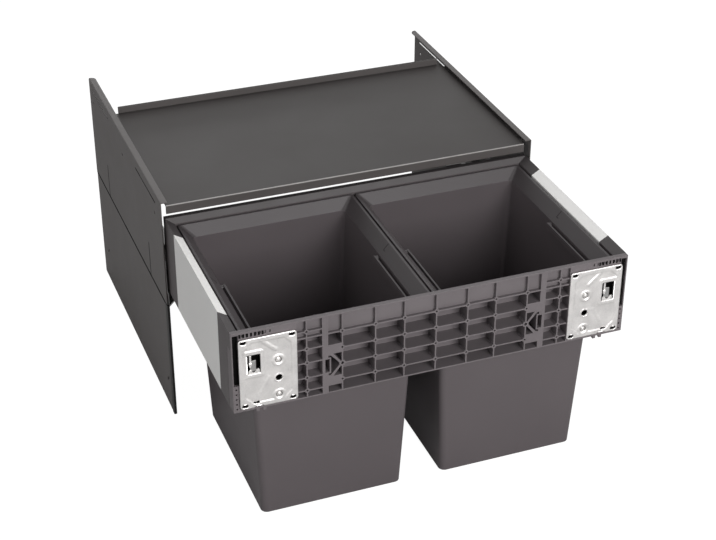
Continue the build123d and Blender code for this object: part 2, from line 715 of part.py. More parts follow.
top_rows = [(ledge, drawer_top - CARRIER_TOP_RIM)]
deep_rows = cells([drawer_bottom + rise for rise in ROW_RISES], drawer_bottom + RIB, ledge_under)
columns = cells(ribs[1:], RIB / 2, braced_rib - RIB / 2)
brace_column = (braced_rib + RIB / 2, broad_rib[0])
end_columns = cells([end_rib], broad_rib[1], plate_in)
end_rises = [drawer_bottom + rise for rise in END_ROW_RISES]
end_top_rows = cells(end_rises[-1:], ledge, drawer_top - CARRIER_TOP_RIM)
end_deep_rows = cells(end_rises[:-1], drawer_bottom + RIB, ledge_under)


def draw_cells(column_spans, row_spans):
    """Cells of the carrier's front on both sides of its middle."""
    for column in column_spans:
        for row in row_spans:
            patch(column, row)
    mirror(about=Plane.YZ)


with BuildPart() as carrier:
    with BuildSketch(across(front)):
        patch((-carrier_half, carrier_half), (ledge_under, drawer_top))
    extrude(amount=-CARRIER_TOP_DEPTH)
    with BuildSketch(across(front)):
        patch((-carrier_half, carrier_half), (drawer_bottom, ledge))
    extrude(amount=-CARRIER_END_DEPTH)
    with BuildSketch(across(front)):
        patch((-end_start, end_start), (drawer_bottom, ledge))
    extrude(amount=-CARRIER_DEPTH)

    with BuildSketch(across(front)):
        draw_cells(columns, deep_rows)
    extrude(amount=-cell_depth, mode=Mode.SUBTRACT)
    with BuildSketch(across(front)):
        draw_cells(end_columns, end_deep_rows)
    extrude(amount=-end_cell_depth, mode=Mode.SUBTRACT)
    with BuildSketch(across(front)):
        draw_cells([*columns, brace_column], top_rows)
    extrude(amount=-top_cell_depth, mode=Mode.SUBTRACT)
    with BuildSketch(across(front)):
        draw_cells(end_columns, end_top_rows)
    extrude(amount=-top_cell_depth, mode=Mode.SUBTRACT)

    # Round the braced node: a cell above and below two flat webs, and a pocket behind two braces.
    brace_high = brace_node[1] + BRACE_RISE
    brace_low = brace_node[1] - BRACE_RISE
    brace_end = broad_rib[0] - EYE_WIDTH / 2
    with BuildSketch(across(front)):
        draw_cells([brace_column], [(brace_high + WEB_TOP, ledge_under), (drawer_bottom + RIB, brace_low - WEB_TOP)])
    extrude(amount=-cell_depth, mode=Mode.SUBTRACT)
    with BuildSketch(across(front)):
        outline(
            (brace_column[0], brace_node[1] + RIB),
            (brace_end - 2 * RIB, brace_high),
            (brace_column[0], brace_high),
        )
        outline(
            (brace_column[0], brace_node[1] - RIB),
            (brace_end - 2 * RIB, brace_low),
            (brace_column[0], brace_low),
        )
        outline(
            (brace_column[0] + RIB, brace_node[1]),
            (brace_end, brace_high - RIB),
            (brace_column[1], brace_high - RIB),
            (brace_column[1], brace_low + RIB),
            (brace_end, brace_low + RIB),
        )
        mirror(about=Plane.YZ)
    extrude(amount=-cell_depth, mode=Mode.SUBTRACT)
    with BuildSketch(across(front)):
        for side in (1, -1):
            with Locations((side * (broad_rib[0] + EYE_WIDTH / 2 - EYE_WALL), brace_node[1])):
                Rectangle(EYE_WIDTH + 2 * EYE_WALL, EYE_HEIGHT + 2 * EYE_WALL)
                Rectangle(EYE_WIDTH, EYE_HEIGHT, mode=Mode.SUBTRACT)
    extrude(amount=-cell_depth)
    with BuildSketch(across(front)):
        for side in (1, -1):
            with Locations((side * (broad_rib[0] + EYE_WIDTH / 2 - EYE_WALL), brace_node[1])):
                Rectangle(EYE_WIDTH, EYE_HEIGHT)
    extrude(amount=-cell_depth, mode=Mode.SUBTRACT)

    # Bosses stand where ribs cross.
    row_nodes = [*(drawer_bottom + rise for rise in ROW_RISES), (ledge + ledge_under) / 2]
    nodes = [(x, z) for place in ribs for x in both(place) for z in row_nodes]
    nodes += [(x, z) for x in both(braced_rib) for z in row_nodes if z != brace_node[1]]
    nodes += [(x, z) for x in both(end_rib) for z in end_rises]
    brace_nodes = [(x, brace_node[1]) for x in both(braced_rib)]
    with BuildSketch(across(front)):
        with Locations(*[node for node in nodes if node[1] < ledge]):
            RegularPolygon(BOSS / 2, BOSS_SIDES)
        with Locations(*brace_nodes):
            RegularPolygon(BRACE_BOSS / 2, BOSS_SIDES)
    extrude(amount=-end_cell_depth)
    with BuildSketch(across(front)):
        with Locations(*[node for node in nodes if node[1] > ledge]):
            RegularPolygon(BOSS / 2, BOSS_SIDES)
    extrude(amount=-top_cell_depth)
    with BuildSketch(across(front)):
        with Locations(*nodes):
            RegularPolygon(BOSS_HOLE / 2, BOSS_HOLE_SIDES)
        with Locations(*brace_nodes):
            RegularPolygon(BRACE_HOLE / 2, BOSS_SIDES)
    extrude(amount=-top_cell_depth, mode=Mode.SUBTRACT)

    # Behind each metal plate: a cavity, a comb above it, a deep slot and a row of holes beside it.
    cavity_width = inset((plate_in, plate_out), PLATE_SEAT)
    with BuildSketch(across(front)):
        patch(cavity_width, (plate_foot + PLATE_SEAT, ledge_under))
        mirror(about=Plane.YZ)
    extrude(amount=-PLATE_CAVITY, mode=Mode.SUBTRACT)
    with BuildSketch(across(front)):
        patch(cavity_width, (ledge_under, plate_foot + PLATE_HEIGHT - PLATE_SEAT))
        mirror(about=Plane.YZ)
    extrude(amount=-top_cell_depth, mode=Mode.SUBTRACT)
    comb_middle = plate_out - COMB_PITCH * (COMB_NOTCHES + 1) / 2
    comb_height = (plate_foot + PLATE_HEIGHT + drawer_top) / 2
    with BuildSketch(across(front)):
        for side in (1, -1):
            with Locations((side * comb_middle, comb_height)):
                with GridLocations(COMB_PITCH, 1, COMB_NOTCHES, 1):
                    Rectangle(COMB_NOTCH, COMB_HEIGHT)
    extrude(amount=-COMB_DEPTH, mode=Mode.SUBTRACT)
    recess_top = drawer_top - CARRIER_TOP_RIM - EDGE_WALL
    recess_out = carrier_half - EDGE_WALL
    recess_in = plate_out - EDGE_RECESS_LAP
    with BuildSketch(across(front)):
        patch((recess_in, recess_out), (recess_top - EDGE_RECESS_HEIGHT, ledge_under))
        mirror(about=Plane.YZ)
    extrude(amount=-EDGE_RECESS_DEPTH, mode=Mode.SUBTRACT)
    with BuildSketch(across(front)):
        patch((recess_in, recess_out), (ledge_under, recess_top))
        mirror(about=Plane.YZ)
    extrude(amount=-top_cell_depth, mode=Mode.SUBTRACT)
    with BuildSketch(across(front)):
        for side in (1, -1):
            for n in range(EDGE_HOLES):
                hole_height = drawer_bottom + EDGE_HOLE_RISE + n * EDGE_HOLE_PITCH
                with Locations((side * (recess_out - EDGE_HOLE_INSET), hole_height)):
                    RegularPolygon(EDGE_HOLE / 2, BOSS_SIDES)
    extrude(amount=-BOSS_HOLE_DEPTH, mode=Mode.SUBTRACT)
    for place in FOOT_LUG_PLACES:
        for middle in both(place):
            slab(
                (middle - FOOT_LUG[0] / 2, middle + FOOT_LUG[0] / 2),
                (front, front + FOOT_LUG[1]),
                (drawer_bottom - FOOT_LUG[2], drawer_bottom + CARRIER_WALL),
            )
save(carrier, "front_carrier")

# ---------------------------------------------------------------- plates for the furniture front

window_middle = (plate_middle[0] + PLATE_WINDOW_PLACE[0], plate_middle[1] + PLATE_WINDOW_PLACE[1])
window_foot = window_middle[1] - PLATE_WINDOW[1] / 2
window_head = window_middle[1] + PLATE_WINDOW[1] / 2
plate_head = plate_foot + PLATE_HEIGHT
adjusters = [(plate_middle[0] + u, plate_middle[1] + v) for u, v in ADJUSTER_PLACES]
with BuildPart() as front_plate:
    with BuildSketch(across(plate_front)):
        with Locations(plate_middle):
            RectangleRounded(PLATE_WIDTH, PLATE_HEIGHT, PLATE_CORNER)
        with Locations(window_middle):
            Rectangle(*PLATE_WINDOW, mode=Mode.SUBTRACT)
        with Locations((plate_middle[0] + PLATE_HOLE_PLACE[0], plate_middle[1] + PLATE_HOLE_PLACE[1])):
            Circle(PLATE_HOLE / 2, mode=Mode.SUBTRACT)
        with Locations(plate_middle):
            with GridLocations(*PLATE_SLOT_PITCH, 2, 2):
                SlotOverall(PLATE_SLOT_LENGTH, 2 * PLATE_SLOT_RADIUS, mode=Mode.SUBTRACT)
        with Locations(*adjusters):
            Circle(ADJUSTER_HOLE / 2, mode=Mode.SUBTRACT)
        with Locations((plate_middle[0] + PLATE_NOTCH_PLACE, plate_foot)):
            SlotOverall(PLATE_NOTCH, 2 * PLATE_NOTCH_DEPTH, mode=Mode.SUBTRACT)
        with Locations((plate_middle[0] + KEY_SLOT_PLACE[0], plate_middle[1] + KEY_SLOT_PLACE[1])):
            SlotOverall(*KEY_SLOT, mode=Mode.SUBTRACT)
        with Locations((plate_middle[0] + KEY_SLOT_PLACE[0] - KEY_SLOT[1], plate_middle[1] + KEY_SLOT_PLACE[1])):
            Circle(KEY_SLOT[1] * 0.8, mode=Mode.SUBTRACT)
    extrude(amount=-PLATE_THICKNESS)
    # The middle is pressed back, but for the field round the window and a slanted bead.
    with BuildSketch(across(plate_front)) as dish:
        patch(inset((plate_in, plate_out), DISH_BORDER[0]), inset((plate_foot, plate_head), DISH_BORDER[1]))
        chamfer(dish.vertices(), DISH_CORNER)
        patch(
            (window_middle[0] - PLATE_WINDOW[0] / 2 - FIELD_MARGIN[0], plate_out),
            inset((window_foot, window_head), -FIELD_MARGIN[1]),
            mode=Mode.SUBTRACT,
        )
        with Locations((plate_middle[0] + PLATE_BEAD_PLACE[0], plate_middle[1] + PLATE_BEAD_PLACE[1])):
            SlotOverall(*PLATE_BEAD, rotation=PLATE_BEAD_ANGLE, mode=Mode.SUBTRACT)
    extrude(amount=-DISH_DEPTH, mode=Mode.SUBTRACT)
    with BuildSketch(across(plate_front)):
        with Locations(*adjusters):
            Circle(ADJUSTER_CUP / 2)
    extrude(amount=-ADJUSTER_CUP_DEPTH, taper=ADJUSTER_CUP_TAPER, mode=Mode.SUBTRACT)
save_pair(front_plate, "front_plate")

with BuildPart() as plate_adjusters:
    with BuildSketch(across(plate_front + ADJUSTER_CUP_DEPTH / 2)):
        with Locations(*adjusters):
            Circle(ADJUSTER_SCREW / 2)
            Rectangle(ADJUSTER_DRIVE, ADJUSTER_DRIVE, mode=Mode.SUBTRACT)
    extrude(amount=-(PLATE_THICKNESS + PLATE_CAVITY - ADJUSTER_CUP_DEPTH / 2))
save_pair(plate_adjusters, "plate_adjusters")

latch_width = PLATE_WINDOW[0] - 2 * LATCH_GAP
latch_high = window_head - LATCH_GAP
latch_low = window_foot + LATCH_GAP
cavity_back = front + PLATE_CAVITY
with BuildPart() as plate_latch:
    with BuildSketch(beside(window_middle[0] - latch_width / 2)):
        strip(
            (cavity_back, latch_high),
            (front + PLATE_THICKNESS, latch_high),
            (front - PLATE_THICKNESS / 2, latch_low + PLATE_WINDOW[1] / 3),
            (front + PLATE_THICKNESS / 2, latch_low),
            (cavity_back, latch_low),
            thickness=LATCH_WALL,
        )
    extrude(amount=latch_width)
    with BuildSketch(across(plate_front)):
        with Locations((window_middle[0], latch_high)):
            Rectangle(latch_width / 3, PLATE_WINDOW[1])
    extrude(amount=-PLATE_CAVITY, mode=Mode.SUBTRACT)
save_pair(plate_latch, "plate_latch")

# ---------------------------------------------------------------- bins and handles

pivot = (rim_depth[0] + PIVOT_SETBACK, crease - HANDLE_DROP - HANDLE_HEIGHT / 2)
handle_width = inset(neck_width, HANDLE_GAP)
handle_front = neck_depth[0] + HANDLE_GAP

rim_hole = (inset(rim_width, RIM_FLAT), inset(rim_depth, RIM_FLAT), RIM_CORNER - RIM_FLAT)
neck_hole = (neck_width, neck_depth, NECK_CORNER - BIN_WALL)
neck_wall = (inset(neck_width, -BIN_WALL), inset(neck_depth, -BIN_WALL), NECK_CORNER)
floor_hole = (inset(floor_width, BIN_WALL), inset(floor_depth, BIN_WALL), FLOOR_CORNER - BIN_WALL)

with BuildPart() as bin_shell:
    rim = level_frame(rim_foot, rim_width, rim_depth, RIM_CORNER)
    neck = level_frame(under_crease, *neck_wall)
    extrude(rim, amount=RIM_BAND)
    loft([rim, neck], ruled=True)
    loft([neck, level_frame(bin_floor, floor_width, floor_depth, FLOOR_CORNER)], ruled=True)
    mouth = level_frame(rim_top, *rim_hole)
    throat = level_frame(crease, *neck_hole)
    loft([mouth, throat], ruled=True, mode=Mode.SUBTRACT)
    loft([throat, level_frame(bin_floor + BIN_WALL, *floor_hole)], ruled=True, mode=Mode.SUBTRACT)
    # A hole for each pin of the handle.
    with BuildSketch(beside(rim_width[0])):
        with Locations(pivot):
            RegularPolygon(PIVOT_PIN / 2 + PIN_CLEARANCE, PIN_HOLE_SIDES, major_radius=False)
    extrude(amount=rim_width[1] - rim_width[0], mode=Mode.SUBTRACT)
save_pair(bin_shell, "bin_shell")

# The handle is a flat strip bent round three sides of the mouth, with a pin at each end.
with BuildPart() as handle:
    with BuildSketch(Plane.XY.offset(pivot[1] - HANDLE_HEIGHT / 2)):
        strip(
            (handle_width[0], pivot[0]),
            (handle_width[0], handle_front),
            (handle_width[1], handle_front),
            (handle_width[1], pivot[0]),
            thickness=HANDLE_WALL,
            bend=HANDLE_CORNER,
        )
    extrude(amount=HANDLE_HEIGHT)
    for start, outward in ((handle_width[1], 1), (handle_width[0], -1)):
        with BuildSketch(beside(start)):
            with Locations(pivot):
                Circle(HANDLE_HEIGHT / 2)
        extrude(amount=-outward * HANDLE_WALL)
        with BuildSketch(beside(start)):
            with Locations(pivot):
                Circle(PIVOT_COLLAR / 2)
        extrude(amount=outward * (HANDLE_GAP - COLLAR_GAP))
        with BuildSketch(beside(start)):
            with Locations(pivot):
                Circle(PIVOT_PIN / 2)
        extrude(amount=outward * (HANDLE_GAP + BIN_WALL))
save_pair(handle, "bail_handle")
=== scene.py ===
"""Looks of a pull-out waste unit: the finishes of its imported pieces, and the small pieces that only show.

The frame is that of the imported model: +X right, +Y into the cabinet, +Z up. The studio and the finishes are
in metres, the small pieces and the marks in the coat in millimetres.
"""

import json
import math

import bmesh
import bpy
from mathutils import Matrix, Vector


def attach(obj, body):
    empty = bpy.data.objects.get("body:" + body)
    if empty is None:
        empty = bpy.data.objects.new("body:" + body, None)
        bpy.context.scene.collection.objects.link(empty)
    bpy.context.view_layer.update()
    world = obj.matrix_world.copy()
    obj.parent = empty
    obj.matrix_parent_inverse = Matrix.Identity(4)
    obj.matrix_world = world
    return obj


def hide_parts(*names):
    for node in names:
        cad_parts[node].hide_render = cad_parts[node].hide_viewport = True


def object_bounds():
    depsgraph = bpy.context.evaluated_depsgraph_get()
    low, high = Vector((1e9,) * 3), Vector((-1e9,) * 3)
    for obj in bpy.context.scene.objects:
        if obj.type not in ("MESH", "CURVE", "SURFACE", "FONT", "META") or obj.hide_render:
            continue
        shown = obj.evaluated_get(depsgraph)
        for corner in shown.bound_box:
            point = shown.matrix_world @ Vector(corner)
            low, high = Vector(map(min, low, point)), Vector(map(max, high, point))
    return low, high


MM = 0.001
SIDES = (("right", 1), ("left", -1))

# Camera, at the photograph's angle
CAMERA_PLACE = (-0.710, -1.897, 1.400)
CAMERA_AZIMUTH = math.radians(-20.74)
CAMERA_ELEVATION = math.radians(30.85)
CAMERA_ROLL = math.radians(0.08)
LENS = 80.64
SENSOR = 36.0
CLIP_START = 0.05

# Studio
FLOOR_SIZE = 14.0
FLOOR_GAP = 0.0005
FLOOR_GREY = (0.6, 0.6, 0.6, 1.0)
FLOOR_ROUGHNESS = 0.9
FLOOR_WHITE = 0.8           # share of plain white in what the camera sees of the floor
FLOOR_GLOW = 1.24
WHITE = (1.0, 1.0, 1.0, 1.0)
WORLD_LIGHT = 0.16
LAMP_AIM = (0.0, 0.0, 0.2)
LAMPS = (                   # name, place, width and height, power
    ("lamp_front", (0.5, -2.6, 1.4), (1.6, 1.2), 62),
    ("lamp_above", (0.0, 0.5, 2.4), (2.0, 2.0), 15),
    ("lamp_left", (-2.4, -0.6, 1.2), (1.4, 1.2), 9),
    ("lamp_right", (2.6, 0.9, 0.7), (1.4, 1.0), 9),
    ("lamp_back", (0.4, 3.0, 0.5), (1.4, 0.6), 10),
)

# Colours, as they look
COAT_GREY = (88, 84, 83)
BIN_GREY = (90, 84, 86)
FRAME_GREY = (84, 79, 80)
CARRIER_GREY = (108, 102, 104)
# darker copy of the coat grey, painted shade for the shelf
SHELF_SHADED_GREY = (84, 80, 79)
# painted highlight on the bend of the shelf
SHELF_HIGHLIGHT_GREY = (150, 147, 145)
SIDE_LIGHT = (246, 245, 243)
ZINC = (240, 237, 235)
GALVANISED = (170, 169, 168)
# darker steel of the cups, painted shade of the recess round each adjusting screw
CUP_SHADE_GREY = (128, 126, 124)
TRIM_BLACK = (28, 27, 27)
NYLON = (225, 223, 216)
SHADE_BLACK = (16, 15, 15)
SLIT_SHADE_BLACK = (14, 13, 13)

# Painted shade in the coat of the side panels and the shelf brackets, where their slits and hooks show
PANEL_OUT = 281.0           # outer face of the panels, from the unit's middle
MARK_MARGIN = (0.5, 0.2)    # how far inside that face a mark begins, and where it is full
SLIT_DEPTHS = (90.0, 350.0)
SLIT_MARK = 2.1             # half the width of a slit's mark
SLIT_MARK_BLUR = 0.3
SLIT_MARK_TOP = 246.0
SLIT_TOP_BLUR = 0.5

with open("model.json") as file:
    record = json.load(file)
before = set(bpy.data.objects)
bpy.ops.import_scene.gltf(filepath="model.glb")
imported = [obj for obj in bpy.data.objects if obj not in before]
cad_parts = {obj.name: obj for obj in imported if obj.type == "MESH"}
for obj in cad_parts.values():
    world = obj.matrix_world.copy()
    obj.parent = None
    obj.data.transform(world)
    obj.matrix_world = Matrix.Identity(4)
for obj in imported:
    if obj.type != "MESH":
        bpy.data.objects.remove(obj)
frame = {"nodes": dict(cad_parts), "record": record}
cad_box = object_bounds()


# ---------------------------------------------------------------- shader nodes


def colour(rgb):
    """Linear colour of a colour given as it looks."""
    channels = [value / 255 for value in rgb]
    linear = [c / 12.92 if c <= 0.04045 else ((c + 0.055) / 1.055) ** 2.4 for c in channels]
    return (*linear, 1.0)


def feed(tree, socket, value):
    """A number or colour is set on a socket, and a node's output is linked to it."""
    if isinstance(value, bpy.types.NodeSocket):
        tree.links.new(value, socket)
    else:
        socket.default_value = value


def math_node(tree, operation, first, second=0.0):
    """A maths node whose inputs are outputs of nodes or numbers."""
    node = tree.nodes.new("ShaderNodeMath")
    node.operation = operation
    feed(tree, node.inputs[0], first)
    feed(tree, node.inputs[1], second)
    return node.outputs[0]


def noise(tree, place, scale, detail, roughness=0.5):
    """Noise on the coordinates given."""
    node = tree.nodes.new("ShaderNodeTexNoise")
    feed(tree, node.inputs["Vector"], place)
    feed(tree, node.inputs["Scale"], scale)
    feed(tree, node.inputs["Detail"], detail)
    feed(tree, node.inputs["Roughness"], roughness)
    return node.outputs["Fac"]


def spread(tree, value, low, high, out_low, out_high):
    """The value taken from one range to another, and held at its ends."""
    node = tree.nodes.new("ShaderNodeMapRange")
    feed(tree, node.inputs["Value"], value)
    for label, end in zip(("From Min", "From Max", "To Min", "To Max"), (low, high, out_low, out_high)):
        feed(tree, node.inputs[label], end)
    return node.outputs["Result"]


def mix_colours(tree, share, first, second):
    """A mix of two colours by a mask."""
    node = tree.nodes.new("ShaderNodeMix")
    node.data_type = "RGBA"
    feed(tree, node.inputs["Factor"], share)
    for label, value in (("A", first), ("B", second)):
        feed(tree, next(s for s in node.inputs if s.name == label and s.type == "RGBA"), value)
    return next(s for s in node.outputs if s.type == "RGBA")


def mix_shaders(tree, share, first, second):
    """A mix of two shaders by a share."""
    node = tree.nodes.new("ShaderNodeMixShader")
    for socket, value in zip(node.inputs, (share, first, second)):
        feed(tree, socket, value)
    return node.outputs[0]


def shaded(tree, base, shade):
    """A colour times a value that changes over the surface."""
    node = tree.nodes.new("ShaderNodeVectorMath")
    node.operation = "SCALE"
    feed(tree, node.inputs[0], base[:3])
    feed(tree, node.inputs["Scale"], shade)
    return node.outputs[0]


def add_bump(tree, height, strength, distance, normal):
    """A bump of the height given, on the normal given."""
    node = tree.nodes.new("ShaderNodeBump")
    feed(tree, node.inputs["Strength"], strength)
    feed(tree, node.inputs["Distance"], distance)
    feed(tree, node.inputs["Height"], height)
    feed(tree, node.inputs["Normal"], normal)
    return node.outputs[0]


# ---------------------------------------------------------------- studio


def set_camera():
    """The camera that saw the unit from the front left and above."""
    data = bpy.data.cameras.new("camera")
    data.lens = LENS
    data.sensor_fit = "HORIZONTAL"
    data.sensor_width = SENSOR
    data.clip_start = CLIP_START
    camera = bpy.data.objects.new("camera", data)
    bpy.context.collection.objects.link(camera)
    turn = Matrix.Rotation(CAMERA_AZIMUTH, 4, "Z") @ Matrix.Rotation(math.pi / 2 - CAMERA_ELEVATION, 4, "X")
    camera.matrix_world = Matrix.Translation(CAMERA_PLACE) @ turn @ Matrix.Rotation(CAMERA_ROLL, 4, "Z")
    bpy.context.scene.camera = camera


def add_lamp(name, place, size, power):
    """A large soft lamp at a place, facing the unit."""
    data = bpy.data.lights.new(name, "AREA")
    data.shape = "RECTANGLE"
    data.size, data.size_y = size
    data.energy = power
    lamp = bpy.data.objects.new(name, data)
    bpy.context.collection.objects.link(lamp)
    facing = (Vector(LAMP_AIM) - Vector(place)).to_track_quat("-Z", "Y").to_matrix().to_4x4()
    lamp.matrix_world = Matrix.Translation(place) @ facing


def light_unit():
    """Light mostly from the front, less from above, and a little from the other sides."""
    for lamp in LAMPS:
        add_lamp(*lamp)


def set_world():
    """White to the eye, in reflections and through glass, and a mild light on everything else."""
    world = bpy.data.worlds.new("studio")
    bpy.context.scene.world = world
    world.use_nodes = True
    tree = world.node_tree
    ambient = tree.nodes["Background"]
    ambient.inputs["Color"].default_value = WHITE
    ambient.inputs["Strength"].default_value = WORLD_LIGHT
    seen = tree.nodes.new("ShaderNodeBackground")
    seen.inputs["Color"].default_value = WHITE
    seen.inputs["Strength"].default_value = 1.0
    ray = tree.nodes.new("ShaderNodeLightPath").outputs
    straight = math_node(tree, "MAXIMUM", ray["Is Camera Ray"], ray["Is Transmission Ray"])
    share = math_node(tree, "MAXIMUM", straight, ray["Is Glossy Ray"])
    surround = mix_shaders(tree, share, ambient.outputs[0], seen.outputs[0])
    tree.links.new(surround, tree.nodes["World Output"].inputs["Surface"])


def floor_paint():
    """Pale grey under the lamps, and mostly plain white to the camera."""
    paint = bpy.data.materials.new("studio_floor")
    paint.use_nodes = True
    tree = paint.node_tree
    lit = tree.nodes["Principled BSDF"]
    lit.inputs["Base Color"].default_value = FLOOR_GREY
    lit.inputs["Roughness"].default_value = FLOOR_ROUGHNESS
    lit.inputs["Specular IOR Level"].default_value = 0.0
    white = tree.nodes.new("ShaderNodeEmission")
    white.inputs["Strength"].default_value = FLOOR_GLOW
    ray = tree.nodes.new("ShaderNodeLightPath").outputs
    share = math_node(tree, "MULTIPLY", ray["Is Camera Ray"], FLOOR_WHITE)
    mixed = mix_shaders(tree, share, lit.outputs[0], white.outputs[0])
    tree.links.new(mixed, tree.nodes["Material Output"].inputs["Surface"])
    return paint


def lay_floor():
    """A white floor that keeps a faint shadow."""
    mesh = bmesh.new()
    bmesh.ops.create_grid(mesh, x_segments=1, y_segments=1, size=FLOOR_SIZE / 2)
    bmesh.ops.translate(mesh, verts=mesh.verts, vec=(0, 0, cad_box[0][2] - FLOOR_GAP))
    data = bpy.data.meshes.new("floor")
    mesh.to_mesh(data)
    mesh.free()
    data.materials.append(floor_paint())
    floor = bpy.data.objects.new("floor", data)
    bpy.context.collection.objects.link(floor)


# ---------------------------------------------------------------- effects that finishes share

# Faces that look up are painted darker (plastics, steel) or lighter (the light side coat) by a share set in
# each finish: painted shade and painted light
TOP_LIGHTING_FACING = (0.1, 0.7)      # upward part of a normal where the tone of upward faces begins and is full
NOISE_SPAN = (0.3, 0.7)     # nearly all of a noise lies in it
SPOT_SPAN = (0.35, 0.65)
EDGE_BEND = (0.99, 0.75)    # cosine between true and rounded normal where an edge begins and is full
EDGE_SAMPLES = 4


def new_group(name, inputs, outputs):
    """An empty shader group with the inputs and outputs given, and the sockets of its two ends."""
    group = bpy.data.node_groups.new(name, "ShaderNodeTree")
    for label, start in inputs.items():
        socket = group.interface.new_socket(label, in_out="INPUT", socket_type="NodeSocketFloat")
        socket.default_value = start
    for label, kind in outputs.items():
        group.interface.new_socket(label, in_out="OUTPUT", socket_type=kind)
    return group, group.nodes.new("NodeGroupInput").outputs, group.nodes.new("NodeGroupOutput").inputs


def make_grain_and_top_lighting_group():
    """Fine pebbled grain of powder coat or moulded plastic, with slow changes of tone and gloss, and painted
    shade or painted light on the faces that look up.
    """
    group, start, end = new_group(
        "grain_and_painted_top_lighting",
        {
            "Grain Scale": 900.0,
            "Cloud Scale": 9.0,
            "Tone": 0.06,
            "Gloss": 0.08,
            "Roughness": 0.5,
            "Painted Top Lighting": 1.0,
        },
        {"Shade": "NodeSocketFloat", "Roughness": "NodeSocketFloat", "Height": "NodeSocketFloat"},
    )
    whereabouts = group.nodes.new("ShaderNodeTexCoord").outputs
    facing = group.nodes.new("ShaderNodeSeparateXYZ")
    group.links.new(whereabouts["Normal"], facing.inputs[0])
    # painted shade or painted light on the faces that look up
    top_lighting = spread(group, facing.outputs["Z"], *TOP_LIGHTING_FACING, 1.0, start["Painted Top Lighting"])
    grain = noise(group, whereabouts["Object"], start["Grain Scale"], detail=3.0)
    cloud = noise(group, whereabouts["Object"], start["Cloud Scale"], detail=4.0, roughness=0.6)
    wide = spread(group, cloud, *NOISE_SPAN, -1.0, 1.0)
    fine = spread(group, grain, *NOISE_SPAN, -0.5, 0.5)
    both = math_node(group, "ADD", wide, fine)
    tone = math_node(group, "ADD", math_node(group, "MULTIPLY", both, start["Tone"]), 1.0)
    gloss = math_node(group, "MULTIPLY", wide, start["Gloss"])
    group.links.new(math_node(group, "MULTIPLY", tone, top_lighting), end["Shade"])
    group.links.new(math_node(group, "ADD", gloss, start["Roughness"]), end["Roughness"])
    group.links.new(grain, end["Height"])
    return group


def make_edge_group():
    """Mask of the sharp edges, broken up as by handling, and the normal that rounds them."""
    group, start, end = new_group(
        "edge_mask",
        {"Width": 0.0008, "Breakup Scale": 60.0, "Breakup": 0.5},
        {"Edge": "NodeSocketFloat", "Normal": "NodeSocketVector"},
    )
    rounded = group.nodes.new("ShaderNodeBevel")
    rounded.samples = EDGE_SAMPLES
    group.links.new(start["Width"], rounded.inputs["Radius"])
    flat = group.nodes.new("ShaderNodeNewGeometry")
    dot = group.nodes.new("ShaderNodeVectorMath")
    dot.operation = "DOT_PRODUCT"
    group.links.new(rounded.outputs[0], dot.inputs[0])
    group.links.new(flat.outputs["Normal"], dot.inputs[1])
    edge = spread(group, dot.outputs["Value"], *EDGE_BEND, 0.0, 1.0)
    place = group.nodes.new("ShaderNodeTexCoord").outputs["Object"]
    cloud = noise(group, place, start["Breakup Scale"], detail=4.0)
    spots = spread(group, cloud, *SPOT_SPAN, 0.0, 1.0)
    kept = math_node(group, "SUBTRACT", 1.0, start["Breakup"])
    share = math_node(group, "ADD", kept, math_node(group, "MULTIPLY", spots, start["Breakup"]))
    group.links.new(math_node(group, "MULTIPLY", edge, share), end["Edge"])
    group.links.new(rounded.outputs[0], end["Normal"])
    return group


def place_group(tree, group, values):
    """The outputs of a shader group placed in a material, with its own values."""
    node = tree.nodes.new("ShaderNodeGroup")
    node.node_tree = group
    for label, value in values.items():
        node.inputs[label].default_value = value
    return node.outputs


def object_place(tree):
    """The three object coordinates, apart."""
    node = tree.nodes.new("ShaderNodeSeparateXYZ")
    tree.links.new(tree.nodes.new("ShaderNodeTexCoord").outputs["Object"], node.inputs[0])
    return node.outputs


def outer_face(tree, place):
    """1 on the very outside of the unit's left and right, 0 elsewhere."""
    across = math_node(tree, "ABSOLUTE", place["X"])
    begins, full = ((PANEL_OUT - margin) * MM for margin in MARK_MARGIN)
    return spread(tree, across, begins, full, 0.0, 1.0)


def below(tree, value, limit, blur):
    """1 where a coordinate is below a limit in millimetres, 0 above it, with a soft step between."""
    return spread(tree, value, (limit - blur) * MM, (limit + blur) * MM, 1.0, 0.0)


def slit_marks(tree):
    """Mask of painted shade over the upright slits of a side panel, open from the joint up to their top."""
    place = object_place(tree)
    lines = []
    for depth in SLIT_DEPTHS:
        away = math_node(tree, "ABSOLUTE", math_node(tree, "SUBTRACT", place["Y"], depth * MM))
        lines.append(below(tree, away, SLIT_MARK, SLIT_MARK_BLUR))
    line = math_node(tree, "MAXIMUM", *lines)
    mark = math_node(tree, "MULTIPLY", line, below(tree, place["Z"], SLIT_MARK_TOP, SLIT_TOP_BLUR))
    return math_node(tree, "MULTIPLY", mark, outer_face(tree, place))


def hook_marks(tree):
    """Mask of painted shade over the hooks of a shelf bracket where they show in the panel's long slots."""
    return outer_face(tree, object_place(tree))


grain_and_top_lighting_group = make_grain_and_top_lighting_group()
edge_group = make_edge_group()


# ---------------------------------------------------------------- finishes


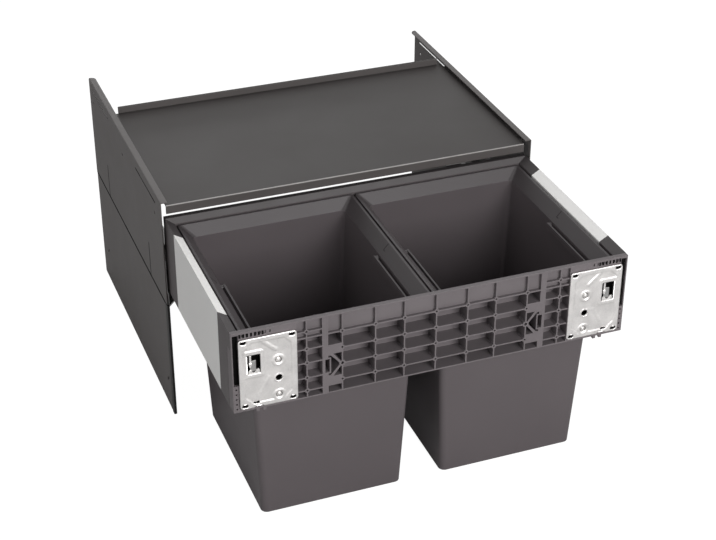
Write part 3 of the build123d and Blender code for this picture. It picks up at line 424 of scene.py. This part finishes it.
def grained_finish(
    name, look, grain, edge, bump, edge_wear_and_highlight, metallic=0.0, specular=0.5, painted_top_lighting=1.0, marks=None
):
    """A coated, moulded or plated surface with grain, and edges a little lighter than its faces, partly as
    wear and partly as a painted highlight.
    """
    material = bpy.data.materials.new(name)
    material.use_nodes = True
    tree = material.node_tree
    shader = tree.nodes["Principled BSDF"].inputs
    texture = place_group(tree, grain_and_top_lighting_group, {**grain, "Painted Top Lighting": painted_top_lighting})
    corner = place_group(tree, edge_group, edge)
    base = colour(look)
    # Lighter edges: partly wear, partly a painted highlight along the edges
    light = (*[min(1.0, channel * edge_wear_and_highlight) for channel in base[:3]], 1.0)
    coat = mix_colours(tree, corner["Edge"], shaded(tree, base, texture["Shade"]), light)
    roughness = texture["Roughness"]
    # painted shade where slits and hooks show, with its reflection dulled
    if marks is not None:
        gap = marks(tree)
        coat = mix_colours(tree, gap, coat, colour(SLIT_SHADE_BLACK))
        roughness = math_node(tree, "MAXIMUM", roughness, gap)
    tree.links.new(coat, shader["Base Color"])
    tree.links.new(roughness, shader["Roughness"])
    tree.links.new(add_bump(tree, texture["Height"], *bump, corner["Normal"]), shader["Normal"])
    shader["Metallic"].default_value = metallic
    shader["Specular IOR Level"].default_value = specular
    return material


def powder_coat(name, grey, specular=0.5, painted_top_lighting=0.85, marks=None):
    """Anthracite powder coat of the sheet steel."""
    return grained_finish(
        name,
        grey,
        grain={"Grain Scale": 1400.0, "Cloud Scale": 7.0, "Tone": 0.05, "Gloss": 0.05, "Roughness": 0.5},
        edge={"Width": 0.0007, "Breakup": 0.4},
        bump=(0.35, 0.00015),
        edge_wear_and_highlight=1.7,
        specular=specular,
        painted_top_lighting=painted_top_lighting,
        marks=marks,
    )


def bin_plastic():
    """Smooth grey plastic of the bins and their handles."""
    return grained_finish(
        "bin_plastic",
        BIN_GREY,
        grain={"Grain Scale": 2200.0, "Cloud Scale": 5.0, "Tone": 0.04, "Gloss": 0.06, "Roughness": 0.42},
        edge={"Width": 0.0010, "Breakup": 0.3},
        bump=(0.2, 0.0001),
        edge_wear_and_highlight=1.35,
        specular=0.35,
        painted_top_lighting=0.42,
    )


def frame_plastic(name, grey, painted_top_lighting=0.48):
    """Grey plastic of the carrier, the rail and the ends of the drawer sides."""
    return grained_finish(
        name,
        grey,
        grain={"Grain Scale": 1800.0, "Cloud Scale": 12.0, "Tone": 0.06, "Gloss": 0.08, "Roughness": 0.48},
        edge={"Width": 0.0006, "Breakup": 0.35},
        bump=(0.3, 0.0001),
        edge_wear_and_highlight=1.8,
        specular=0.35,
        painted_top_lighting=painted_top_lighting,
    )


def side_paint():
    """Smooth light coat of the drawer sides."""
    return grained_finish(
        "light_side_coat",
        SIDE_LIGHT,
        grain={"Grain Scale": 1600.0, "Cloud Scale": 6.0, "Tone": 0.015, "Gloss": 0.05, "Roughness": 0.38},
        edge={"Width": 0.0008, "Breakup": 0.2},
        bump=(0.15, 0.0001),
        edge_wear_and_highlight=1.05,
        # its faces that look up get painted light
        painted_top_lighting=1.06,
    )


def black_plastic():
    """Black plastic of the edge trims and the soft-close housings."""
    return grained_finish(
        "black_trim_plastic",
        TRIM_BLACK,
        grain={"Grain Scale": 1500.0, "Cloud Scale": 15.0, "Tone": 0.1, "Gloss": 0.08, "Roughness": 0.5},
        edge={"Width": 0.0006, "Breakup": 0.3},
        bump=(0.3, 0.0001),
        edge_wear_and_highlight=2.0,
    )


def glide_nylon():
    """White nylon of the runners' glides."""
    return grained_finish(
        "glide_nylon",
        NYLON,
        grain={"Grain Scale": 900.0, "Cloud Scale": 20.0, "Tone": 0.03, "Gloss": 0.05, "Roughness": 0.4},
        edge={"Width": 0.0004, "Breakup": 0.2},
        bump=(0.2, 0.00005),
        edge_wear_and_highlight=1.0,
    )


def plated_steel(name, look, roughness, cloud_scale):
    """Zinc plated or galvanised steel with a faint rolled grain."""
    return grained_finish(
        name,
        look,
        grain={
            "Grain Scale": 500.0,
            "Cloud Scale": cloud_scale,
            "Tone": 0.07,
            "Gloss": 0.07,
            "Roughness": roughness,
        },
        edge={"Width": 0.0005, "Breakup": 0.2},
        bump=(0.15, 0.00005),
        edge_wear_and_highlight=1.15,
        metallic=0.85,
    )


def painted_deep_shade():
    """Near black that paints the shade in deep gaps and openings."""
    return grained_finish(
        "painted_deep_shade_black",
        SHADE_BLACK,
        grain={"Grain Scale": 1200.0, "Cloud Scale": 20.0, "Tone": 0.1, "Gloss": 0.05, "Roughness": 0.9},
        edge={"Width": 0.0002, "Breakup": 0.3},
        bump=(0.2, 0.0001),
        edge_wear_and_highlight=1.1,
        specular=0.05,
    )


def painted_shelf_highlight():
    """Light grey that paints the highlight on the bend of the shelf."""
    return grained_finish(
        "painted_highlight_coat",
        SHELF_HIGHLIGHT_GREY,
        grain={"Grain Scale": 900.0, "Cloud Scale": 30.0, "Tone": 0.12, "Gloss": 0.08, "Roughness": 0.35},
        edge={"Width": 0.0002, "Breakup": 0.3},
        bump=(0.2, 0.0001),
        edge_wear_and_highlight=1.1,
    )


FINISHES = {
    "painted_deep_shade": painted_deep_shade(),
    "painted_shelf_highlight": painted_shelf_highlight(),
    "steel_grey": powder_coat("anthracite_powder_coat", COAT_GREY),
    # the shelf has a darker copy of the panels' coat: painted shade on its top
    "shaded_shelf_coat": powder_coat("shaded_shelf_powder_coat", SHELF_SHADED_GREY, specular=0.28, painted_top_lighting=0.5),
    "slit_panel_coat": powder_coat("slit_panel_coat", COAT_GREY, marks=slit_marks),
    "bracket_coat": powder_coat("bracket_coat", COAT_GREY, marks=hook_marks),
    "zinc": plated_steel("bright_zinc", ZINC, roughness=0.34, cloud_scale=60.0),
    "shaded_cup_steel": plated_steel("cup_steel_shade", CUP_SHADE_GREY, roughness=0.5, cloud_scale=50.0),
    "runner_steel": plated_steel("galvanised_runner", GALVANISED, roughness=0.42, cloud_scale=35.0),
    "side_white": side_paint(),
    "frame_plastic": frame_plastic("frame_plastic", FRAME_GREY),
    "carrier_plastic": frame_plastic("carrier_plastic", CARRIER_GREY, painted_top_lighting=0.85),
    "bin_plastic": bin_plastic(),
    "black_plastic": black_plastic(),
    "nylon": glide_nylon(),
}

OWN_FINISH = {"front_carrier": "carrier_plastic", "top_shelf": "shaded_shelf_coat"}
for side, _ in SIDES:
    OWN_FINISH[f"runner_rivets_{side}"] = "steel_grey"
    OWN_FINISH[f"side_panel_{side}"] = "slit_panel_coat"
    OWN_FINISH[f"shelf_bracket_{side}"] = "bracket_coat"


def dress_nodes():
    """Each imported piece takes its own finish, or else that of its material slot."""
    for part in frame["record"]["subparts"]:
        materials = frame["nodes"][part["node"]].data.materials
        materials.clear()
        materials.append(FINISHES[OWN_FINISH.get(part["node"], part["material_slot"])])


bpy.context.scene.view_settings.view_transform = "Standard"
set_camera()
set_world()
lay_floor()
light_unit()
dress_nodes()


# ---------------------------------------------------------------- small pieces

MERGE_DISTANCE = 1e-6
TURN_STEPS = 28


def finish_piece(name, mesh, body, finish, smooth=False):
    """Turn mesh data built in millimetres into a piece that rides on a body."""
    bmesh.ops.remove_doubles(mesh, verts=mesh.verts, dist=MERGE_DISTANCE)
    bmesh.ops.recalc_face_normals(mesh, faces=mesh.faces)
    bmesh.ops.scale(mesh, vec=(MM, MM, MM), verts=mesh.verts)
    for face in mesh.faces:
        face.smooth = smooth
    data = bpy.data.meshes.new(name)
    mesh.to_mesh(data)
    mesh.free()
    data.materials.append(finish)
    piece = bpy.data.objects.new(name, data)
    bpy.context.collection.objects.link(piece)
    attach(piece, body)
    return piece


def add_block(mesh, low, high, edge=0.0):
    """A block between two corners, with its edges broken."""
    made = bmesh.ops.create_cube(mesh, size=1.0)["verts"]
    size = [b - a for a, b in zip(low, high)]
    middle = [(a + b) / 2 for a, b in zip(low, high)]
    bmesh.ops.scale(mesh, vec=size, verts=made)
    bmesh.ops.translate(mesh, vec=middle, verts=made)
    if edge:
        edges = list({e for v in made for e in v.link_edges})
        bmesh.ops.bevel(
            mesh, geom=edges, offset=edge, segments=2, profile=0.5, affect="EDGES", material=-1
        )
    return made


def add_block_at(mesh, origin, low, high, edge):
    """A block between two corners that are given from an origin."""
    corners = [[a + b for a, b in zip(origin, corner)] for corner in (low, high)]
    add_block(mesh, *corners, edge)


def add_side_block(mesh, sign, across, depths, levels, edge):
    """A block on one side of the unit: two distances from its middle, two depths and two levels."""
    near, far = sorted(sign * distance for distance in across)
    add_block(mesh, (near, depths[0], levels[0]), (far, depths[1], levels[1]), edge)


def add_prism(mesh, points, front, back):
    """An upright sheet with the outline given by X and Z, between two depths."""
    base = mesh.faces.new([mesh.verts.new((x, front, z)) for x, z in points])
    grown = bmesh.ops.extrude_face_region(mesh, geom=[base])["geom"]
    moved = [item for item in grown if isinstance(item, bmesh.types.BMVert)]
    bmesh.ops.translate(mesh, vec=(0, back - front, 0), verts=moved)


def turned(mesh, profile, place):
    """A ring turned from a profile of radius and depth round a level axis through X and Z."""
    ring = [mesh.verts.new((place[0] + radius, depth, place[1])) for radius, depth in profile]
    edges = [mesh.edges.new(pair) for pair in zip(ring, ring[1:])]
    bmesh.ops.spin(
        mesh,
        geom=ring + edges,
        cent=(place[0], 0, place[1]),
        axis=(0, 1, 0),
        angle=math.tau,
        steps=TURN_STEPS,
        use_merge=True,
    )


# ---------------------------------------------------------------- pressed plates for the furniture front
# On a plate U runs from its middle to the outside of the unit, and V runs up.

PLATE_MIDDLE = (228.35, 265.5)      # from the unit's middle, and up
PLATE_SIZE = (76.3, 103.0)
PLATE_CORNER = 4.0
PLATE_FRONT = -310.5
PLATE_SHEET = 2.4
GRID_STEP = 1.0
SNAP_SHARE = 0.72                   # of a grid step, within which a point moves onto an edge
SNAP_ROUNDS = 2
SLOPE_STEP = 0.01
SLOT_PITCH = (31.75, 47.5)
SLOT_HALF = 1.85
SLOT_RADIUS = 2.4
WINDOW_MIDDLE = (18.7, 13.5)
WINDOW_HALF = (8.8, 14.25)
ROUND_HOLE = (-13.7, -14.0)
ROUND_HOLE_RADIUS = 5.0
ROUND_HOLE_RIM = 7.0
ADJUSTERS = ((-13.7, 12.5), (-13.7, -39.5))
ADJUSTER_RIM = (7.4, 9.2)           # radii between which the raised rim round a cup falls to the dish
ADJUSTER_CUP = (3.2, 6.6)           # radii between which the wall of the cup rises
ADJUSTER_DEPTH = 1.9
KEY_SLOT = ((14.6, -44.8), (19.6, -44.8))
KEY_RADIUS = 1.2
KEY_EYE = 2.0
SCALLOP = (13.5, -52.6)
SCALLOP_HALF = 4.2
SCALLOP_RADIUS = 2.6
DISH_DEPTH = 0.9
DISH_HALF = (31.4, 45.8)
DISH_CUT = 10.0
DISH_SLOPE = 1.6
FIELD_SHIFT = 8.0                   # the raised field round the window reaches further out than in
FIELD_HALF = (WINDOW_HALF[0] + 11.5, WINDOW_HALF[1] + 5.0)
FIELD_CORNER = 3.0
BEAD_UPPER = ((-10.7, 29.0), (5.7, 43.8))
BEAD_UPPER_EDGE = (1.4, 3.2)
BEAD_LOWER = ((-0.7, -10.5), (10.4, -31.0))
BEAD_LOWER_EDGE = (1.0, 3.0)
BEAD_LOWER_RISE = 0.45              # share of the dish's depth


def on_plate(sign, place):
    """X and Z of a place on a plate."""
    return sign * (PLATE_MIDDLE[0] + place[0]), PLATE_MIDDLE[1] + place[1]


def to_box(u, v, half, corner=0.0):
    """Distance to the edge of a rectangle, negative inside it."""
    du, dv = abs(u) - half[0] + corner, abs(v) - half[1] + corner
    return math.hypot(max(du, 0.0), max(dv, 0.0)) + min(max(du, dv), 0.0) - corner


def to_run(u, v, start, end):
    """Distance to a straight run between two points."""
    run = (end[0] - start[0], end[1] - start[1])
    share = ((u - start[0]) * run[0] + (v - start[1]) * run[1]) / (run[0] ** 2 + run[1] ** 2)
    share = min(max(share, 0.0), 1.0)
    return math.hypot(u - start[0] - share * run[0], v - start[1] - share * run[1])


def ramp(value, low, high):
    """A smooth step from 0 at one value to 1 at another."""
    share = min(max((value - low) / (high - low), 0.0), 1.0)
    return share * share * (3 - 2 * share)


def plate_edge(u, v):
    """How far a point lies inside the sheet, negative in its holes and outside it."""
    edges = [-to_box(u, v, (PLATE_SIZE[0] / 2, PLATE_SIZE[1] / 2), PLATE_CORNER)]
    slot_u, slot_v = abs(u) - SLOT_PITCH[0], abs(v) - SLOT_PITCH[1]
    edges.append(to_run(slot_u, slot_v, (-SLOT_HALF, 0), (SLOT_HALF, 0)) - SLOT_RADIUS)
    edges.append(to_box(u - WINDOW_MIDDLE[0], v - WINDOW_MIDDLE[1], WINDOW_HALF))
    edges.append(math.hypot(u - ROUND_HOLE[0], v - ROUND_HOLE[1]) - ROUND_HOLE_RADIUS)
    edges.append(to_run(u, v, *KEY_SLOT) - KEY_RADIUS)
    edges.append(math.hypot(u - KEY_SLOT[0][0], v - KEY_SLOT[0][1]) - KEY_EYE)
    left, right = (SCALLOP[0] - SCALLOP_HALF, SCALLOP[1]), (SCALLOP[0] + SCALLOP_HALF, SCALLOP[1])
    edges.append(to_run(u, v, left, right) - SCALLOP_RADIUS)
    return min(edges)


def plate_depth(u, v):
    """How far the sheet is pressed back from the face of its border."""
    chamfer = (abs(u) + abs(v) - DISH_HALF[0] - DISH_HALF[1] + DISH_CUT) / math.sqrt(2)
    dish = 1 - ramp(max(to_box(u, v, DISH_HALF), chamfer), -DISH_SLOPE, 0.0)
    field = to_box(u - WINDOW_MIDDLE[0] - FIELD_SHIFT, v - WINDOW_MIDDLE[1], FIELD_HALF, FIELD_CORNER)
    dish *= ramp(field, 0.0, DISH_SLOPE)
    dish *= ramp(to_run(u, v, *BEAD_UPPER), *BEAD_UPPER_EDGE)
    dish *= 1 - BEAD_LOWER_RISE + BEAD_LOWER_RISE * ramp(to_run(u, v, *BEAD_LOWER), *BEAD_LOWER_EDGE)
    depth = DISH_DEPTH * dish
    for place in ADJUSTERS:
        away = math.hypot(u - place[0], v - place[1])
        depth *= ramp(away, *ADJUSTER_RIM)
        depth += ADJUSTER_DEPTH * (1 - ramp(away, *ADJUSTER_CUP))
    away = math.hypot(u - ROUND_HOLE[0], v - ROUND_HOLE[1])
    return depth * ramp(away, ROUND_HOLE_RADIUS, ROUND_HOLE_RIM)


def onto_edge(u, v):
    """A point of the grid, moved onto the edge of the sheet where it is near one."""
    for _ in range(SNAP_ROUNDS):
        off = plate_edge(u, v)
        if abs(off) < SNAP_SHARE * GRID_STEP:
            slope_u = (plate_edge(u + SLOPE_STEP, v) - plate_edge(u - SLOPE_STEP, v)) / (2 * SLOPE_STEP)
            slope_v = (plate_edge(u, v + SLOPE_STEP) - plate_edge(u, v - SLOPE_STEP)) / (2 * SLOPE_STEP)
            u, v = u - off * slope_u, v - off * slope_v
    return u, v


def add_plate(side, sign):
    """Zinc plated sheet with slots, a window and pressed beads."""
    mesh = bmesh.new()
    counts = [round(size / GRID_STEP) for size in PLATE_SIZE]
    bmesh.ops.create_grid(mesh, x_segments=counts[0], y_segments=counts[1], size=0.5)
    for vert in mesh.verts:
        vert.co = (*onto_edge(vert.co.x * PLATE_SIZE[0], vert.co.y * PLATE_SIZE[1]), 0.0)
    lost = [f for f in mesh.faces if plate_edge(*f.calc_center_median()[:2]) < 0.0]
    bmesh.ops.delete(mesh, geom=lost, context="FACES")
    for vert in mesh.verts:
        x, z = on_plate(sign, vert.co)
        vert.co = (x, PLATE_FRONT + plate_depth(vert.co.x, vert.co.y), z)
    bmesh.ops.recalc_face_normals(mesh, faces=mesh.faces)
    faces_front = mesh.faces[:][0].normal.y < 0
    bmesh.ops.solidify(mesh, geom=mesh.faces[:], thickness=PLATE_SHEET if faces_front else -PLATE_SHEET)
    plate = finish_piece(f"pressed_plate_{side}", mesh, "drawer", FINISHES["zinc"], smooth=True)
    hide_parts(f"front_plate_{side}")


for side, sign in SIDES:
    add_plate(side, sign)


# ---------------------------------------------------------------- adjusting screws

# Radius and depth
SCREW_HEAD = ((0.0, -309.75), (1.5, -309.7), (2.2, -309.3), (2.4, -308.6), (2.4, -306.5))
SCREW_COLLAR = ((2.7, -308.9), (3.3, -308.75), (3.6, -308.45), (3.6, -307.6))
CUP_WALL = ((2.5, -308.55), (3.9, -308.95), (5.6, -309.75), (5.8, -309.6), (5.8, -308.9))


def add_adjusters(side, sign):
    """The two adjusting screws of a plate, each with a collar, and the cups that they sit in, in a darker
    steel that paints the shade round each screw.
    """
    screw_mesh, cup_mesh = bmesh.new(), bmesh.new()
    for adjuster in ADJUSTERS:
        place = on_plate(sign, adjuster)
        turned(screw_mesh, SCREW_HEAD, place)
        turned(screw_mesh, SCREW_COLLAR, place)
        turned(cup_mesh, CUP_WALL, place)
    zinc, shaded_cup_steel = FINISHES["zinc"], FINISHES["shaded_cup_steel"]
    screws = finish_piece(f"adjuster_screws_{side}", screw_mesh, "drawer", zinc, smooth=True)
    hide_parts(f"plate_adjusters_{side}")
    finish_piece(f"adjuster_cups_{side}", cup_mesh, "drawer", shaded_cup_steel, smooth=True)


# ---------------------------------------------------------------- spring latches

LATCH_FACE = -309.9
LATCH_SHEET = 1.6
LATCH_OUTLINE = (                   # X and Z from the middle of the window's foot
    (-7.6, 0.3),
    (7.6, 0.3),
    (7.6, 4.6),
    (6.3, 6.6),
    (4.2, 6.2),
    (2.2, 3.0),
    (0.2, 1.7),
    (-2.0, 2.8),
    (-3.4, 5.4),
    (-5.6, 6.0),
    (-7.4, 4.4),
)
STEM_SHIFT = -4.2                   # to the left of the window's middle on both plates
STEM = ((-1.3, 1.0, 9.5), (1.3, 6.0, 26.5))     # two corners, from the latch's face and the window's foot
STEM_EDGE = 0.4
STEM_CROSS = ((-2.2, 0.6, 12.0), (2.2, 4.0, 16.0))
CROSS_EDGE = 0.7
TONGUE = ((-4.6, 1.7, 3.0), (3.4, 2.9, 18.5))
TONGUE_EDGE = 0.5


def add_latch(side, sign):
    """Spring latch in the window of a plate: a notched foot, a slim stem with a cross piece, a tongue."""
    mesh = bmesh.new()
    middle, level = on_plate(sign, WINDOW_MIDDLE)
    foot = level - WINDOW_HALF[1]
    outline = [(middle + x, foot + z) for x, z in LATCH_OUTLINE]
    add_prism(mesh, outline, LATCH_FACE, LATCH_FACE + LATCH_SHEET)
    stem_foot = (middle + STEM_SHIFT, LATCH_FACE, foot)
    add_block_at(mesh, stem_foot, *STEM, STEM_EDGE)
    add_block_at(mesh, stem_foot, *STEM_CROSS, CROSS_EDGE)
    latch = finish_piece(f"spring_latch_{side}", mesh, "drawer", FINISHES["zinc"])
    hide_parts(f"plate_latch_{side}")
    mesh = bmesh.new()
    add_block_at(mesh, (middle, LATCH_FACE, foot), *TONGUE, TONGUE_EDGE)
    finish_piece(f"latch_tongue_{side}", mesh, "drawer", FINISHES["runner_steel"])


# ---------------------------------------------------------------- painted shade in the openings of the drawer front

CARRIER_FACE = -307.5
SHADE_SHEET = 0.6
SHADE_SHEET_EDGE = 0.1
DEEP_SHADE_DEPTH = -299.0
NEAR_SHADE_DEPTH = -308.3
SLOT_MIDDLES = [(u, v) for v in (SLOT_PITCH[1], -SLOT_PITCH[1]) for u in (SLOT_PITCH[0], -SLOT_PITCH[0])]
KEY_MIDDLE = ((KEY_SLOT[0][0] + KEY_SLOT[1][0]) / 2, KEY_SLOT[0][1])
PLATE_SHADE_SHEETS = (                   # middle, half width and half height, depth
    (WINDOW_MIDDLE, (12.0, 17.0), DEEP_SHADE_DEPTH),
    (ROUND_HOLE, (8.0, 8.0), DEEP_SHADE_DEPTH),
    *[(middle, (5.4, 3.2), NEAR_SHADE_DEPTH) for middle in SLOT_MIDDLES],
    (KEY_MIDDLE, (5.6, 2.4), NEAR_SHADE_DEPTH),
)
# black bars that paint the shade in the notches of the comb above a plate
COMB_BARS = 7
COMB_PITCH = 5.0
COMB_INSET = 3.0
COMB_START = PLATE_MIDDLE[0] + PLATE_SIZE[0] / 2 - COMB_INSET
COMB_BAR = ((-1.3, -0.08, 319.0), (1.3, 0.1, 324.6))    # from the bar's middle and the carrier's face
COMB_EDGE = 0.04
# a black sheet that paints the shade in the recess beside a plate
RECESS_ACROSS = (266.0, 273.0)
RECESS_BACK = -303.2
RECESS_SHEET = 0.5
RECESS_LEVELS = (248.9, 323.6)


def add_shade_sheets(side, sign):
    """Black sheets that paint the shade: behind the openings of a plate, in the comb above it and in the
    recess beside it.
    """
    mesh = bmesh.new()
    for middle, (half_u, half_v), depth in PLATE_SHADE_SHEETS:
        x, z = on_plate(sign, middle)
        low, high = (-half_u, 0.0, -half_v), (half_u, SHADE_SHEET, half_v)
        add_block_at(mesh, (x, depth, z), low, high, SHADE_SHEET_EDGE)
    for n in range(COMB_BARS):
        bar = (sign * (COMB_START - n * COMB_PITCH), CARRIER_FACE, 0.0)
        add_block_at(mesh, bar, *COMB_BAR, COMB_EDGE)
    depths = (RECESS_BACK, RECESS_BACK + RECESS_SHEET)
    add_side_block(mesh, sign, RECESS_ACROSS, depths, RECESS_LEVELS, SHADE_SHEET_EDGE)
    finish_piece(f"shade_sheets_{side}", mesh, "drawer", FINISHES["painted_deep_shade"])


for side, sign in SIDES:
    add_adjusters(side, sign)
    add_latch(side, sign)
    add_shade_sheets(side, sign)


# ---------------------------------------------------------------- painted shade in the joints and openings of the side panels

PANEL_BACK = 445.5
SLIT_SHADE_ACROSS = (PANEL_OUT - 1.4, PANEL_OUT - 0.1)
LINE_EDGE = 0.08
SLIT_HALF = 0.55
SLIT_LEVELS = (206.2, 241.8)
LONG_SLOT = (30.0, 145.0)           # its front and back ends
LONG_SLOT_LEVEL = 340.5
LONG_SLOT_HALF = 1.45
LONG_SLOT_INSET = 1.6
SEAM = 192.0                        # foot of the upper panels
# a black strip that paints the shadow under the lap of the upper panel
JOINT_ACROSS = (PANEL_OUT - 0.95, PANEL_OUT - 0.05)
JOINT_HEIGHT = 4.4
JOINT_INSET = 0.4
JOINT_GAP = 0.05


def add_panel_shade(side, sign):
    """Black sheets that paint the shade in a panel's slits and long slot, and the shadow in the joint under
    it.
    """
    mesh = bmesh.new()
    for middle in SLIT_DEPTHS:
        depths = (middle - SLIT_HALF, middle + SLIT_HALF)
        add_side_block(mesh, sign, SLIT_SHADE_ACROSS, depths, SLIT_LEVELS, LINE_EDGE)
    depths = (LONG_SLOT[0] + LONG_SLOT_INSET, LONG_SLOT[1] - LONG_SLOT_INSET)
    levels = (LONG_SLOT_LEVEL - LONG_SLOT_HALF, LONG_SLOT_LEVEL + LONG_SLOT_HALF)
    add_side_block(mesh, sign, SLIT_SHADE_ACROSS, depths, levels, LINE_EDGE)
    finish_piece(f"panel_slit_shade_{side}", mesh, "cabinet", FINISHES["painted_deep_shade"])
    mesh = bmesh.new()
    depths = (JOINT_INSET, PANEL_BACK - JOINT_INSET)
    levels = (SEAM - JOINT_HEIGHT, SEAM - JOINT_GAP)
    add_side_block(mesh, sign, JOINT_ACROSS, depths, levels, LINE_EDGE)
    finish_piece(f"panel_joint_shadow_{side}", mesh, "cabinet", FINISHES["painted_deep_shade"])


# ---------------------------------------------------------------- painted shade in the slits round the spring tabs of the bins

CREASES = (242.5, 18.5)             # outer and inner foot of the funnel, from the unit's middle
CREASE_LEVEL = 303.0
FUNNEL_RISE = 15.6
FUNNEL_RUN = 14.0
TAB_START = 0.42                    # share of the way up the funnel
TAB_SLITS = ((11.5, -152.6, -151.7), (0.8, -157.0, -151.8))     # reach up the funnel, front, back
TAB_SLIT_SHEET = (-0.25, 0.08)      # under and over the funnel's face


def add_tab_slit_shade(side, sign):
    """Black strips that paint the shade in the slits round the spring tabs above the pivots of a bail handle.
    """
    mesh = bmesh.new()
    slope = math.hypot(FUNNEL_RISE, FUNNEL_RUN)
    for crease, outward in zip(CREASES, (sign, -sign)):
        along = Vector((outward * FUNNEL_RUN / slope, 0, FUNNEL_RISE / slope))
        out = Vector((-outward * FUNNEL_RISE / slope, 0, FUNNEL_RUN / slope))
        origin = Vector((sign * crease, 0, CREASE_LEVEL)) + along * TAB_START * slope
        turn = Matrix((along, (0, 1, 0), out)).transposed().to_4x4()
        for reach, front, back in TAB_SLITS:
            made = add_block(mesh, (0, front, TAB_SLIT_SHEET[0]), (reach, back, TAB_SLIT_SHEET[1]))
            bmesh.ops.transform(mesh, matrix=Matrix.Translation(origin) @ turn, verts=made)
    finish_piece(f"tab_slit_shade_{side}", mesh, f"bin_{side}", FINISHES["painted_deep_shade"])


for side, sign in SIDES:
    add_panel_shade(side, sign)
    add_tab_slit_shade(side, sign)


# ---------------------------------------------------------------- painted highlight on the bend of the shelf

SHELF_BEND = (7.0, 345.0)           # centre of the bend along the shelf's front
BEND_OUT = 2.05
BEND_START = math.radians(25)       # above level, where the rubbed strip begins
BEND_TURN = math.radians(48)
BEND_STRIPS = 4
SHELF_HALF = 271.4


def add_shelf_highlight():
    """A light grey strip along the bend at the front of the shelf that paints the highlight of the bend."""
    mesh = bmesh.new()
    depth = SHELF_BEND[0] - BEND_OUT * math.cos(BEND_START)
    level = SHELF_BEND[1] + BEND_OUT * math.sin(BEND_START)
    ends = [mesh.verts.new((x, depth, level)) for x in (-SHELF_HALF, SHELF_HALF)]
    line = mesh.edges.new(ends)
    bmesh.ops.spin(
        mesh,
        geom=[*ends, line],
        cent=(0, *SHELF_BEND),
        axis=(-1, 0, 0),
        angle=BEND_TURN,
        steps=BEND_STRIPS,
    )
    finish_piece("shelf_edge_highlight", mesh, "cabinet", FINISHES["painted_shelf_highlight"], smooth=True)


add_shelf_highlight()
